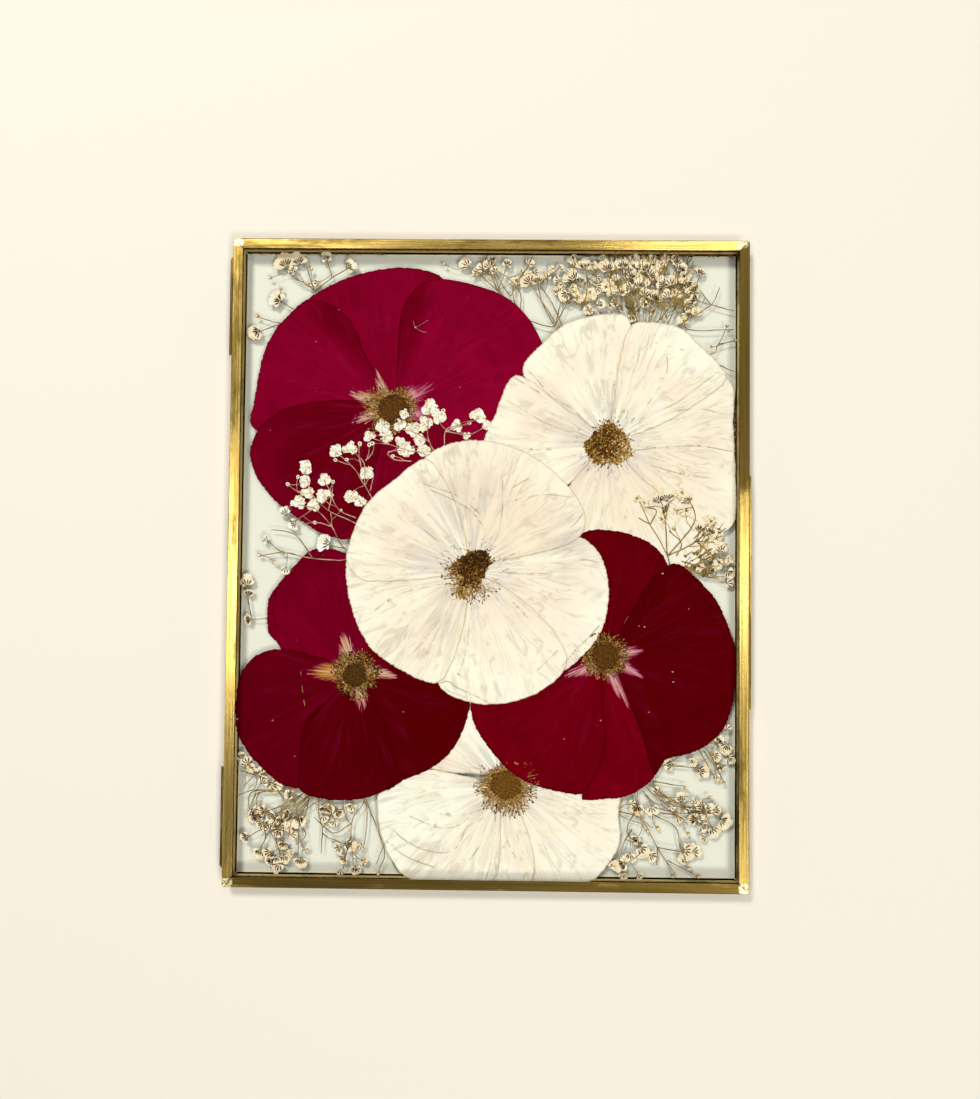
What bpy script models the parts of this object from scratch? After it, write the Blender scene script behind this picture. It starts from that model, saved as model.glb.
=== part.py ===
# Pressed flower frame: six pressed roses and nine sprigs of baby's breath between two glass panes.
# Each pane is edged with folded brass channel, mitred at the corners. The two leaves turn on two
# hinges along the left edge and close with a springy clasp strip over a stud on the right edge.
# The frame lies on its back: +Z comes out of the front pane, +Y runs up the picture, and the
# origin is on the surface that it lies on, below its middle.
import math
import random

import bmesh
import bpy
import numpy as np
from mathutils import Vector
from mathutils.geometry import delaunay_2d_cdt

for old in list(bpy.data.objects):
    bpy.data.objects.remove(old, do_unlink=True)

MM = 0.001

# The leaves: an 8 by 10 inch pane in brass channel
FRAME_WIDTH = 0.206
FRAME_HEIGHT = 0.257
BAR_WIDTH = 0.004
FRONT_SEAT_WIDTH = 0.0032
WEB = 0.0006
OUTER_LIP = 0.0004
INNER_LIP = 0.0003
FOLD_RADIUS = 0.0004
LEAF_DEPTH = 0.0032
LEAF_GAP = 0.0012
MITRE_GAP = 0.0003
GLASS_WIDTH = 0.2032
GLASS_HEIGHT = 0.254
GLASS_THICK = 0.002
GLASS_SEAT = 0.00055
TOTAL_DEPTH = 2 * LEAF_DEPTH + LEAF_GAP

# The hinges on the left edge
CLEAR = 0.0003
BARREL_RADIUS = 0.0008
PIN_RADIUS = 0.00035
BORE_RADIUS = 0.0005
AXIS_X = -(FRAME_WIDTH / 2 + CLEAR + BARREL_RADIUS)
AXIS_Z = TOTAL_DEPTH / 2
HINGE_Y = 0.1015
HINGE_LENGTH = 0.039
KNUCKLES = 5
KNUCKLE_GAP = 0.0003
PLATE_THICK = 0.0004
PLATE_START = 0.0011
PLATE_END = 0.0030
TONGUE_STEP = 0.00001

# The clasp on the right edge
STRIP_TOP_Y = 0.0348
STRIP_BOTTOM_Y = -0.057
STRIP_THICK = 0.0005
STRIP_LOW = 0.0010
STRIP_HIGH = 0.0066
SLIT_Y = 0.0052
SLIT_WIDTH = 0.0007
SLIT_FLOOR = 0.0018
STUD_Y = 0.0028
STUD_Z = 0.0021
STUD_RADIUS = 0.00045
HEAD_RADIUS = 0.0010
HEAD_THICK = 0.0008
NOTCH_WIDTH = 0.0015
NOTCH_SIDES = 6

# The flowers
PANE_TOP = GLASS_SEAT + GLASS_THICK
PETAL_THICK = 0.00010
REST_GAP = 0.00008
PETAL_SPACING = 0.0165
LONG_STRETCH = 0.0095
STEM_WIDTH = 0.0006
STEM_THICK = 0.00035
FLORET_RISE = 0.00065
LOBES = 6
EYE_RIM = 0.00025
EYE_RISE = 0.00060
CELL = 0.0005
MERGE = 0.000012

# Petal outlines in millimetres from the frame's middle, each from its claw round its outer edge.
# Every rose lists its petals from the lowest to the topmost.
ROSES = {
    "bottom_white_rose": {
        "colour": "white", "eye": (7.5, -88), "eye_radius": 8.6, "filaments": 13,
        "petals": {
            "top": [(6, -84), (-8, -84), (-24, -82), (-32, -72), (-26, -60), (-12, -54), (4, -54),
                    (20, -62), (28, -76), (20, -84)],
            "right": [(9, -91), (10, -104), (7, -116), (3.5, -126.2), (22, -126.5), (43, -126.2),
                      (48, -119.5), (52.8, -113), (53.8, -106), (51.8, -99), (54, -93), (46, -82),
                      (28, -80), (12, -86)],
            "bottom": [(5, -92), (-4, -106), (-8, -118), (-2, -126.3), (10, -126.5), (19.5, -126),
                       (20, -118), (16, -104), (10, -92)],
            "left": [(4, -89), (-12, -84), (-30, -82), (-42, -88), (-43.3, -97), (-42, -106),
                     (-39.5, -114), (-35, -121.5), (-30, -126.2), (-12, -126.5), (4, -126.2),
                     (6, -112), (6, -98)],
        },
    },
    "top_red_rose": {
        "colour": "red", "eye": (-38.5, 61), "eye_radius": 7.6, "filaments": 12,
        "petals": {
            "top": [(-42, 65), (-55, 78), (-70, 92), (-79.5, 100.5), (-71, 107), (-61, 112.8),
                    (-48, 117), (-35, 118.6), (-24, 116.8), (-17.5, 114.2), (-22, 98), (-29, 80),
                    (-35, 66)],
            "upper_left": [(-41, 64), (-45, 75), (-50.5, 83), (-53.5, 92), (-59, 100), (-67, 105),
                           (-74, 105), (-80, 100.2), (-86, 94), (-90.5, 86), (-93, 75),
                           (-94.9, 62), (-95.5, 52), (-75, 50), (-55, 54), (-43, 60)],
            "right": [(-37, 64), (-37, 76), (-37, 92), (-35, 103), (-28, 112), (-17, 113.9),
                      (0, 109.5), (10, 104), (18, 94.5), (22, 86), (24, 75), (20, 60), (8, 46),
                      (-8, 42), (-24, 51), (-34, 59)],
            "bottom": [(-42, 60), (-58, 62), (-71, 60), (-80, 56), (-87, 48), (-88.5, 40),
                       (-86, 30), (-80, 20.5), (-70, 13), (-58, 8), (-42, 12), (-25, 20),
                       (-12, 32), (-8, 46), (-18, 54), (-32, 59)],
            "lower_left": [(-42, 62), (-55, 64.5), (-66, 64), (-77, 62.5), (-86, 59), (-93, 53),
                           (-96.5, 45), (-95.5, 37.5), (-91.5, 30), (-86.5, 24.5), (-78, 18),
                           (-66, 10.2), (-56, 12), (-48, 28), (-43, 48)],
        },
    },
    "top_white_rose": {
        "colour": "white", "eye": (48, 47.5), "eye_radius": 8.8, "filaments": 15,
        "petals": {
            "bottom": [(44, 46), (34, 34), (28, 18), (32, 4), (45, -6), (62, -8), (78, -3),
                       (90, 4), (95, 12), (88, 22), (72, 34), (56, 44)],
            "upper_left": [(44, 50), (32, 56), (20, 66), (12, 77.8), (16, 83), (21, 87.8),
                           (27, 94), (36, 98.3), (45, 99.9), (52, 100.3), (55.5, 99), (58, 86),
                           (56, 70), (51, 54)],
            "right": [(52, 51), (66, 62), (82, 74), (94, 77), (98.2, 70), (97.4, 60), (97.8, 50),
                      (98.3, 38), (98.6, 26), (98.8, 17.5), (95, 12), (84, 16), (68, 28), (53, 42)],
            "upper_right": [(48, 52), (50, 66), (52, 82), (56.5, 96.8), (63, 96.9), (71, 96.3),
                            (77, 94.5), (84, 87.5), (92, 80), (96, 74.5), (86, 66), (70, 56),
                            (54, 50)],
            "left": [(45, 51), (30, 62), (18, 72), (10, 76.7), (5.8, 70), (3.6, 62), (1, 56),
                     (-3, 48), (2, 36), (14, 26), (28, 28), (40, 40)],
        },
    },
    "left_red_rose": {
        "colour": "red", "eye": (-52, -45), "eye_radius": 8.0, "filaments": 12,
        "petals": {
            "hidden": [(-50, -42), (-46, -30), (-36, -20), (-24, -20), (-14, -32), (-12, -46),
                       (-24, -54), (-40, -52)],
            "top": [(-54, -43), (-66, -42.5), (-76, -41), (-81.6, -38), (-82.4, -34.4),
                    (-85, -31.6), (-88, -29.8), (-87.6, -22), (-88.5, -16.5), (-84, -10),
                    (-77.5, -2.5), (-70, 4.7), (-60, 4), (-48, -2), (-40, -16), (-44, -32),
                    (-50, -41)],
            "right": [(-50, -47), (-56, -62), (-58, -78), (-50, -91), (-43, -92.2), (-36, -90),
                      (-33, -86.5), (-25, -84.3), (-18.7, -80), (-14, -76.2), (-9.5, -68.5),
                      (-6.8, -60), (-10, -50), (-24, -44), (-40, -42)],
            "left": [(-55, -43), (-68, -38.5), (-80, -35.5), (-90, -36.8), (-96, -41),
                     (-99, -48), (-99.8, -60), (-99, -69.5), (-95, -76.5), (-88, -83.5),
                     (-80, -90), (-73, -91), (-66, -78), (-58, -58)],
            "bottom": [(-54, -48), (-64, -56), (-73, -66), (-74, -80), (-74, -92.6), (-66, -94.5),
                       (-56, -95.2), (-46, -93.8), (-38, -90.5), (-36, -78), (-42, -62),
                       (-49, -50)],
        },
    },
    "right_red_rose": {
        "colour": "red", "eye": (47, -37), "eye_radius": 8.2, "filaments": 13,
        "petals": {
            "top": [(45, -33), (34, -18), (29, -6), (30, 5), (38, 12.6), (45, 13.6), (53, 12.5),
                    (63, 9.2), (69.5, 4.5), (71.5, -1), (74, -12), (68, -24), (54, -33)],
            "hidden": [(44, -33), (32, -28), (20, -34), (16, -46), (26, -54), (42, -44)],
            "bottom_left": [(44, -39), (30, -36), (14, -40), (0, -48), (-6.6, -60), (-4, -66.5),
                            (2, -75), (8, -82), (15, -86.5), (24, -89.8), (31, -91), (36, -92),
                            (46, -88), (50, -72), (50, -56), (48, -42)],
            "bottom": [(47, -42), (45.5, -55), (47, -68), (46, -78), (42, -86), (36.5, -93.2),
                       (40, -94.3), (48, -93), (55, -92.8), (61, -89.5), (67, -85), (69.8, -78),
                       (66, -64), (56, -48)],
            "right": [(50, -34), (58, -18), (66, -5), (73, 0.8), (77, -0.5), (85, -7.5),
                      (91, -14), (95, -23), (98.2, -32), (98.6, -42), (97.5, -55), (94, -65.5),
                      (88, -71.5), (80, -75.8), (72, -76.4), (69.5, -79), (66.5, -85.5),
                      (64.5, -78), (61, -66), (56.5, -55), (51, -41)],
        },
    },
    "middle_white_rose": {
        "colour": "white", "eye": (-6.5, -3.5), "eye_radius": 9.0, "filaments": 15,
        "petals": {
            "right": [(-2, -3), (12, 4), (26, 9), (37.8, 10.6), (44, 5), (47.5, -4), (48.5, -11),
                      (46.8, -24), (42, -32.5), (35, -40), (30, -44), (18, -36), (4, -16)],
            "top": [(-10, 0), (-19, 12), (-27, 24), (-28.5, 38), (-25, 42.5), (-16, 47.2),
                    (-5, 48.8), (6, 47.2), (17, 43), (27, 35.5), (35, 27), (39, 20), (39.3, 14.5),
                    (36, 9), (22, 4), (2, 0)],
            "bottom": [(-8, -8), (-16, -24), (-21, -40), (-18.5, -50.4), (-10, -55),
                       (0.5, -56.8), (12, -55.2), (21, -51.5), (27, -47.5), (33, -40.8),
                       (26, -26), (10, -12), (-2, -6)],
            "lower_left": [(-10, -6), (-28, -4), (-44, 2), (-56, 4), (-57, -3), (-56.3, -10),
                           (-54, -20), (-50, -29.5), (-44, -37.5), (-36, -42.5), (-26, -47.5),
                           (-19, -49.5), (-12, -36), (-8, -18)],
            "upper_left": [(-8, 0), (-10, 14), (-16, 30), (-25, 42.3), (-31, 38.5),
                           (-38.5, 31.8), (-46, 26.5), (-51, 19.5), (-54.3, 11), (-57, -1),
                           (-52, -8), (-36, -8), (-18, -6)],
        },
    },
}

# Sprigs of baby's breath in millimetres: each stem is a run of points, each floret a place and a
# radius. The florets sit on the stems' ends.
SPRIGS = {
    "top_left_sprig": {
        "stems": [[(-68, 96), (-71, 108.5), (-80, 114.5), (-83, 121)], [(-71, 108.5), (-77, 120)],
                  [(-71, 108.5), (-64, 114), (-57, 118.5)], [(-64, 114), (-66, 121)],
                  [(-68, 96), (-79, 101), (-86, 105)], [(-68, 96), (-84, 95.5), (-94, 98)],
                  [(-84, 95.5), (-94, 91.5)]],
        "florets": [(-83.2, 120.4, 3.9), (-77.5, 120.8, 3), (-66.5, 121.6, 2), (-57, 119, 2.8),
                    (-86, 105, 3.2), (-94.4, 91.5, 3), (-94, 98, 1.2)],
    },
    "top_middle_sprig": {
        "stems": [[(12, 98), (3, 109), (-9, 119)], [(3, 109), (-1, 119)],
                  [(12, 98), (9, 110), (15.5, 119.5)], [(12, 98), (26, 95), (20, 106), (15, 113)],
                  [(26, 95), (28, 104), (27.5, 109)], [(3, 109), (6.5, 119)]],
        "florets": [(-10, 119.6, 2.6), (-1, 119.3, 2.4), (6.5, 119.8, 2.1), (15.3, 120, 1.8),
                    (15, 113.5, 3.5), (27.5, 109, 2.3), (31, 107, 2.6)],
    },
    "top_right_sprig": {
        "stems": [[(60, 90), (44, 97), (38, 104), (34, 114), (33, 121)],
                  [(38, 104), (39, 112), (38, 119)], [(60, 90), (50, 104), (47, 118)],
                  [(60, 90), (56, 104), (54, 119)], [(60, 90), (62, 106), (61, 121)],
                  [(60, 90), (67, 104), (68, 119)], [(60, 90), (72, 103), (74, 113), (75, 121)],
                  [(72, 103), (78, 114)], [(60, 90), (78, 97), (82, 109), (84, 116)],
                  [(78, 97), (88.5, 104), (92, 111)], [(88.5, 104), (98, 101.5)],
                  [(78, 97), (80, 93.8), (97.6, 94)],
                  [(60, 90), (86.5, 84), (91.5, 88), (95, 95.4)], [(91.5, 88), (98.2, 89.5)]],
        "florets": [(33, 121.4, 2.4), (38, 119.5, 2.9), (33.5, 114.5, 3.3), (40, 107.5, 3),
                    (47, 119, 3.4), (47.5, 111, 3.4), (54, 119.6, 2.9), (52.5, 108.5, 2.8),
                    (60.5, 120.5, 3), (61, 112, 3.3), (68, 119, 3.3), (66, 107, 3.4),
                    (72.5, 113, 3), (78, 114.5, 2.8), (81.5, 109, 2.9), (84, 116.5, 2.4),
                    (79, 99, 2.6)],
    },
    "bottom_left_sprig": {
        "stems": [[(-66, -88), (-77, -91), (-84, -89), (-91, -85), (-95, -80.5)],
                  [(-66, -88), (-76, -95), (-91, -102)], [(-76, -95), (-84, -104), (-81, -117)],
                  [(-76, -95), (-74, -103), (-74, -118)], [(-84, -104), (-94, -110)],
                  [(-84, -104), (-89, -115)], [(-66, -88), (-61, -99.5), (-64.5, -108), (-54, -113)],
                  [(-66, -88), (-48, -93), (-53, -104), (-52, -121)], [(-64.5, -108), (-64.8, -116)],
                  [(-48, -93), (-40, -114), (-42, -123)],
                  [(-66, -88), (-72, -60), (-78, -26), (-94, -24)], [(-94, -24), (-97, -10)]],
        "florets": [(-95, -80.5, 2.8), (-84, -89.5, 2.9), (-91.5, -102.5, 3), (-84.5, -105.5, 3.2),
                    (-77.5, -105.5, 2.8), (-73.5, -103, 2.9), (-95, -110, 2.2), (-89.5, -115.5, 2.5),
                    (-82, -119.3, 3.4), (-73.5, -119, 2.9), (-58.5, -99.5, 2.8), (-54, -113, 3),
                    (-51.8, -121.3, 2.3), (-96, -10, 2.9)],
    },
    "bottom_right_sprig": {
        "stems": [[(58, -82), (60, -96), (68, -112), (75, -122)], [(68, -112), (80, -114)],
                  [(58, -82), (70, -94), (86, -97), (94, -101)], [(86, -97), (90, -105)],
                  [(58, -82), (70, -80), (85, -81)], [(70, -80), (88, -71), (96, -76)],
                  [(88, -71), (95.5, -65)], [(60, -96), (56, -106), (62, -113), (54, -120)]],
        "florets": [(60, -97, 3), (65.3, -97, 2.9), (80, -114.5, 3.4), (77, -93.5, 2.4),
                    (87, -97, 3), (94, -101, 3.1), (90, -105, 2.8), (85.5, -81.5, 3.1),
                    (73, -79.5, 2.6), (95, -73, 3.1), (95.6, -65, 1.9), (62.5, -113, 3.3),
                    (54.5, -119, 3)],
    },
    "upper_middle_sprig": {
        "stems": [[(-16, 36), (-24, 48), (-24, 61)], [(-16, 36), (-17.5, 52), (-8, 55)],
                  [(-16, 36), (-26, 43), (-33, 44.5), (-48, 49.5)], [(-24, 48), (-31, 52), (-42, 53.5)],
                  [(-17.5, 52), (-4, 57.5)], [(-17.5, 52), (-8, 51), (-1, 54.5)]],
        "florets": [(-48, 50, 2.2), (-42.5, 53.8, 2.8), (-40.5, 49, 2.5), (-34.8, 57.2, 2),
                    (-35.5, 53.5, 2.7), (-30, 52, 3), (-24, 61.8, 3.1), (-21, 57.5, 2.8),
                    (-25.5, 54.5, 2.8), (-13, 54.6, 2.4), (-4.5, 58.2, 2.8), (-1, 54.5, 2.2),
                    (-32.5, 44.5, 3), (-26.5, 44.2, 2.6)],
    },
    "middle_left_sprig": {
        "stems": [[(-42, 16), (-49.5, 30), (-55, 38), (-61, 43)], [(-49.5, 30), (-50, 39), (-55, 44)],
                  [(-49.5, 30), (-47.5, 34)], [(-42, 16), (-52, 24)]],
        "florets": [(-61.3, 43.8, 2.5), (-56, 45, 2.8), (-48.6, 35, 2.8), (-55, 25.6, 2.6),
                    (-51.3, 23.4, 2.2)],
    },
    "right_sprig": {
        "stems": [[(72, -6), (71.5, 3), (64.5, 15.5), (60.5, 24.5)], [(71.5, 3), (70.5, 17.5), (68.5, 26)],
                  [(70.5, 17.5), (72, 24)], [(71.5, 3), (80, 13), (82.5, 19), (79.5, 26)],
                  [(71.5, 3), (83, 9), (90, 16)], [(83, 9), (92, 1), (96.5, -4)],
                  [(83, 9), (90, 8.5)]],
        "florets": [(61.5, 24.6, 2.2), (68, 26.6, 2.5), (72.3, 25, 2.6), (79.3, 26.4, 3),
                    (88.5, 15.5, 3), (90.5, 8.5, 3.2), (87, 3.2, 2.5), (92.5, 0.5, 2.8),
                    (96, -4, 2.4)],
    },
    "left_sprig": {
        "stems": [[(-44, 3), (-57, 0.2), (-70, 0.6), (-82, 2.8), (-91, 1.6)], [(-82, 2.8), (-88.5, 7.6)],
                  [(-70, 0.6), (-76, 9), (-87, 12)],
                  [(-44, 3), (-57, 4.6), (-62.5, 13.5), (-69.5, 21)], [(-57, 4.6), (-65, 6.5)],
                  [(-44, 3), (-50, 13), (-64, 20), (-71, 27), (-73.5, 36)],
                  [(-64, 20), (-63, 26), (-66, 32)], [(-69.5, 21), (-76, 22)],
                  [(-69.5, 21), (-78, 15.5), (-81, 18.6)]],
        "florets": [(-73.6, 37, 2.7), (-73.5, 31.3, 2.4), (-66, 32.5, 2.6), (-72.5, 27, 2.5),
                    (-66.5, 25.8, 2.7), (-76, 22.8, 2.9), (-70, 21.8, 2.7), (-81.3, 19, 2.3),
                    (-78, 14.6, 2.2), (-65, 7, 3.1), (-88.8, 8, 1.5), (-91.5, 1.8, 1.3)],
    },
}

# What is laid down first lies lowest
LAYING_ORDER = [
    "top_left_sprig", "top_middle_sprig", "top_right_sprig", "bottom_left_sprig",
    "bottom_right_sprig", "bottom_white_rose", "top_red_rose", "top_white_rose",
    "upper_middle_sprig", "middle_left_sprig", "right_sprig", "left_red_rose",
    "right_red_rose", "left_sprig", "middle_white_rose",
]


def new_material(name, colour, roughness, metallic=0.0):
    material = bpy.data.materials.new(name)
    material.use_nodes = True
    shader = material.node_tree.nodes["Principled BSDF"]
    shader.inputs["Base Color"].default_value = (*colour, 1.0)
    shader.inputs["Roughness"].default_value = roughness
    shader.inputs["Metallic"].default_value = metallic
    material.diffuse_color = (*colour, 1.0)
    return material


BRASS = new_material("brass", (0.42, 0.27, 0.06), 0.3, 1.0)
GLASS = new_material("glass", (0.75, 0.80, 0.76), 0.03)
RED_PETAL = new_material("red petal", (0.20, 0.001, 0.02), 0.7)
WHITE_PETAL = new_material("white petal", (0.93, 0.84, 0.66), 0.7)
EYE = new_material("stamens", (0.28, 0.16, 0.05), 0.85)
SPRIG = new_material("dried sprig", (0.72, 0.60, 0.42), 0.8)


def add_object(name, form, material, location=(0, 0, 0), turn=(0, 0, 0), parent=None):
    bmesh.ops.recalc_face_normals(form, faces=form.faces[:])
    mesh = bpy.data.meshes.new(name)
    form.to_mesh(mesh)
    form.free()
    mesh.materials.append(material)
    item = bpy.data.objects.new(name, mesh)
    bpy.context.scene.collection.objects.link(item)
    item.parent = parent
    item.location = Vector(location) - (parent.location if parent else Vector())
    item.rotation_euler = turn
    return item


def add_box(form, low, high):
    made = bmesh.ops.create_cube(form, size=1.0)["verts"]
    size = Vector(high) - Vector(low)
    bmesh.ops.scale(form, vec=size, verts=made)
    bmesh.ops.translate(form, vec=(Vector(high) + Vector(low)) / 2, verts=made)


def add_rod(form, start, end, radius, sides=8):
    along = Vector(end) - Vector(start)
    made = bmesh.ops.create_cone(form, cap_ends=True, segments=sides, radius1=radius,
                                 radius2=radius, depth=along.length)["verts"]
    turn = Vector((0, 0, 1)).rotation_difference(along).to_matrix()
    bmesh.ops.rotate(form, matrix=turn, verts=made)
    bmesh.ops.translate(form, vec=(Vector(start) + Vector(end)) / 2, verts=made)


def solid(draw, *values):
    form = bmesh.new()
    draw(form, *values)
    return form


def combine(base, form, operation):
    # Adds or cuts one closed form, which is then taken out of the scene
    tool = add_object("tool", form, BRASS)
    step = base.modifiers.new(operation, "BOOLEAN")
    step.operation = operation
    step.solver = "EXACT"
    step.object = tool
    bpy.context.view_layer.update()
    shaped = bpy.data.meshes.new_from_object(base.evaluated_get(bpy.context.evaluated_depsgraph_get()))
    base.modifiers.clear()
    base.data = shaped
    bpy.data.objects.remove(tool, do_unlink=True)


# ---- brass channel and panes

def add_rail(name, length, location, turn, parent):
    # The channel's section, as distance in from the outer edge and height; its ends are mitred. The
    # front leaf's lip behind the pane is narrower, so the back leaf's lip shows beside it
    seat = FRONT_SEAT_WIDTH if name.startswith("front") else BAR_WIDTH
    section = [(FOLD_RADIUS, 0), (BAR_WIDTH, 0), (BAR_WIDTH, OUTER_LIP), (WEB, OUTER_LIP),
               (WEB, LEAF_DEPTH - INNER_LIP), (seat, LEAF_DEPTH - INNER_LIP),
               (seat, LEAF_DEPTH), (FOLD_RADIUS, LEAF_DEPTH), (0, LEAF_DEPTH - FOLD_RADIUS),
               (0, FOLD_RADIUS)]
    form = bmesh.new()
    rings = []
    for side in (-1, 1):
        half = length / 2 - MITRE_GAP * math.sqrt(0.5)
        ring = [form.verts.new((side * (half - inward), -inward, height)) for inward, height in section]
        form.faces.new(ring)
        rings.append(ring)
    edges = [form.edges.get((ring[i - 1], ring[i])) for ring in rings for i in range(len(section))]
    bmesh.ops.bridge_loops(form, edges=edges)
    add_object(name, form, BRASS, location, turn, parent)


def add_leaf(name, parent):
    # The front leaf is the back leaf turned face down, half a turn about the frame's long axis
    front = name == "front"
    base = TOTAL_DEPTH if front else 0.0
    flip = math.pi if front else 0.0
    half_width = FRAME_WIDTH / 2
    half_height = FRAME_HEIGHT / 2
    quarter = math.pi / 2
    add_rail(name + "_top_rail", FRAME_WIDTH, (0, half_height, base), (0, flip, 0), parent)
    add_rail(name + "_bottom_rail", FRAME_WIDTH, (0, -half_height, base), (0, flip, math.pi), parent)
    add_rail(name + "_left_rail", FRAME_HEIGHT, (-half_width, 0, base), (0, flip, quarter), parent)
    add_rail(name + "_right_rail", FRAME_HEIGHT, (half_width, 0, base), (0, flip, -quarter), parent)
    seat = TOTAL_DEPTH - GLASS_SEAT - GLASS_THICK if front else GLASS_SEAT
    corner = Vector((GLASS_WIDTH / 2, GLASS_HEIGHT / 2, GLASS_THICK / 2))
    add_object(name + "_pane", solid(add_box, -corner, corner), GLASS,
               (0, 0, seat + GLASS_THICK / 2), (0, 0, 0), parent)


# ---- hinges and clasp

def add_hinge_half(name, middle, front, parent):
    # A plate soldered beside the rail, with the knuckles that its leaf turns on
    up = 1 if front else -1
    start = middle - HINGE_LENGTH / 2
    pitch = HINGE_LENGTH / KNUCKLES
    inner = BARREL_RADIUS
    outer = BARREL_RADIUS - PLATE_THICK
    half = bmesh.new()
    add_box(half, (outer, start, up * PLATE_START), (inner, start + HINGE_LENGTH, up * PLATE_END))
    item = add_object(name, half, BRASS)
    for index in range(1 if front else 0, KNUCKLES, 2):
        low = start + index * pitch + KNUCKLE_GAP / 2
        high = low + pitch - KNUCKLE_GAP
        tongue = (inner - TONGUE_STEP, high, up * (PLATE_START + CLEAR))
        combine(item, solid(add_rod, (0, low, 0), (0, high, 0), BARREL_RADIUS), "UNION")
        combine(item, solid(add_box, (outer, low, 0), tongue), "UNION")
    if front:
        combine(item, solid(add_rod, (0, start - CLEAR, 0), (0, start + HINGE_LENGTH + CLEAR, 0),
                            BORE_RADIUS), "DIFFERENCE")
    else:
        combine(item, solid(add_rod, (0, start + CLEAR, 0), (0, start + HINGE_LENGTH - CLEAR, 0),
                            PIN_RADIUS, 6), "UNION")
    item.parent = parent
    item.location = Vector((AXIS_X, 0, AXIS_Z)) - (parent.location if parent else Vector())


def add_clasp(parent):
    face = FRAME_WIDTH / 2 + CLEAR
    notch_top = STUD_Z + NOTCH_WIDTH / 2
    outline = [(STRIP_BOTTOM_Y, STRIP_LOW), (STUD_Y - NOTCH_WIDTH / 2, STRIP_LOW),
               (STUD_Y - NOTCH_WIDTH / 2, STUD_Z)]
    for step in range(1, NOTCH_SIDES):
        angle = math.pi * (1 - step / NOTCH_SIDES)
        outline.append((STUD_Y + NOTCH_WIDTH / 2 * math.cos(angle),
                        STUD_Z + (notch_top - STUD_Z) * math.sin(angle)))
    outline += [(STUD_Y + NOTCH_WIDTH / 2, STUD_Z), (STUD_Y + NOTCH_WIDTH / 2, STRIP_LOW),
                (STRIP_TOP_Y, STRIP_LOW), (STRIP_TOP_Y, STRIP_HIGH),
                (SLIT_Y + SLIT_WIDTH / 2, STRIP_HIGH), (SLIT_Y + SLIT_WIDTH / 2, SLIT_FLOOR),
                (SLIT_Y - SLIT_WIDTH / 2, SLIT_FLOOR), (SLIT_Y - SLIT_WIDTH / 2, STRIP_HIGH),
                (STRIP_BOTTOM_Y, STRIP_HIGH)]
    form = bmesh.new()
    face_made = form.faces.new([form.verts.new((face, y, z)) for y, z in outline])
    grown = bmesh.ops.extrude_face_region(form, geom=[face_made], use_keep_orig=True)["geom"]
    moved = [part for part in grown if isinstance(part, bmesh.types.BMVert)]
    bmesh.ops.translate(form, vec=(STRIP_THICK, 0, 0), verts=moved)
    add_object("clasp_strip", form, BRASS, (0, 0, 0), (0, 0, 0), parent)

    head_end = -AXIS_X + BARREL_RADIUS
    stud = add_object("clasp_stud", solid(add_rod, (face, STUD_Y, STUD_Z),
                                          (head_end - HEAD_THICK / 2, STUD_Y, STUD_Z), STUD_RADIUS), BRASS)
    combine(stud, solid(add_rod, (head_end - HEAD_THICK, STUD_Y, STUD_Z), (head_end, STUD_Y, STUD_Z),
                        HEAD_RADIUS), "UNION")


# ---- the relief: how high the pane, the lips and the flowers laid so far stand in each cell

columns = round(FRAME_WIDTH / CELL)
rows = round(FRAME_HEIGHT / CELL)
relief = np.full((rows, columns), LEAF_DEPTH)
lip = round(BAR_WIDTH / CELL)
relief[lip:-lip, lip:-lip] = PANE_TOP


def cells_under(a, b, c):
    # The cells that a triangle touches, and each corner's weight in them
    area = (b[0] - a[0]) * (c[1] - a[1]) - (b[1] - a[1]) * (c[0] - a[0])
    low = (np.min([a, b, c], axis=0) + (FRAME_WIDTH / 2, FRAME_HEIGHT / 2)) / CELL
    high = (np.max([a, b, c], axis=0) + (FRAME_WIDTH / 2, FRAME_HEIGHT / 2)) / CELL
    across = np.arange(max(int(low[0]) - 1, 0), min(int(high[0]) + 2, columns))
    upward = np.arange(max(int(low[1]) - 1, 0), min(int(high[1]) + 2, rows))
    x, y = np.meshgrid((across + 0.5) * CELL - FRAME_WIDTH / 2, (upward + 0.5) * CELL - FRAME_HEIGHT / 2)
    weights = []
    inside = np.ones(x.shape, bool)
    for p, q in ((b, c), (c, a), (a, b)):
        weight = ((p[0] - x) * (q[1] - y) - (p[1] - y) * (q[0] - x)) / area
        reach = 0.75 * CELL * math.dist(p, q) / abs(area)
        inside &= weight > -reach
        weights.append(weight)
    at = np.ix_(upward, across)
    return at, inside, weights


def rest_heights(points, triangles):
    # The lowest height at which every triangle clears what lies under it
    heights = np.full(len(points), PANE_TOP)
    for triangle in triangles:
        at, inside, _ = cells_under(*[points[corner] for corner in triangle])
        if inside.any():
            peak = relief[at][inside].max()
            for corner in triangle:
                heights[corner] = max(heights[corner], peak)
    return heights + REST_GAP


def lay_down(points, triangles, tops):
    for triangle in triangles:
        at, inside, weights = cells_under(*[points[corner] for corner in triangle])
        level = sum(weight * tops[corner] for weight, corner in zip(weights, triangle))
        level = np.minimum(level, max(tops[corner] for corner in triangle))
        relief[at] = np.where(inside, np.maximum(relief[at], level), relief[at])


def inside_outline(point, outline):
    inside = False
    for a, b in zip(outline, outline[1:] + outline[:1]):
        if (a.y > point.y) != (b.y > point.y):
            if point.x < a.x + (point.y - a.y) / (b.y - a.y) * (b.x - a.x):
                inside = not inside
    return inside


def turned_left(loop):
    # The same outline, run anticlockwise
    area = sum(a.x * b.y - b.x * a.y for a, b in zip(loop, loop[1:] + loop[:1]))
    return loop if area > 0 else loop[::-1]


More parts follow.
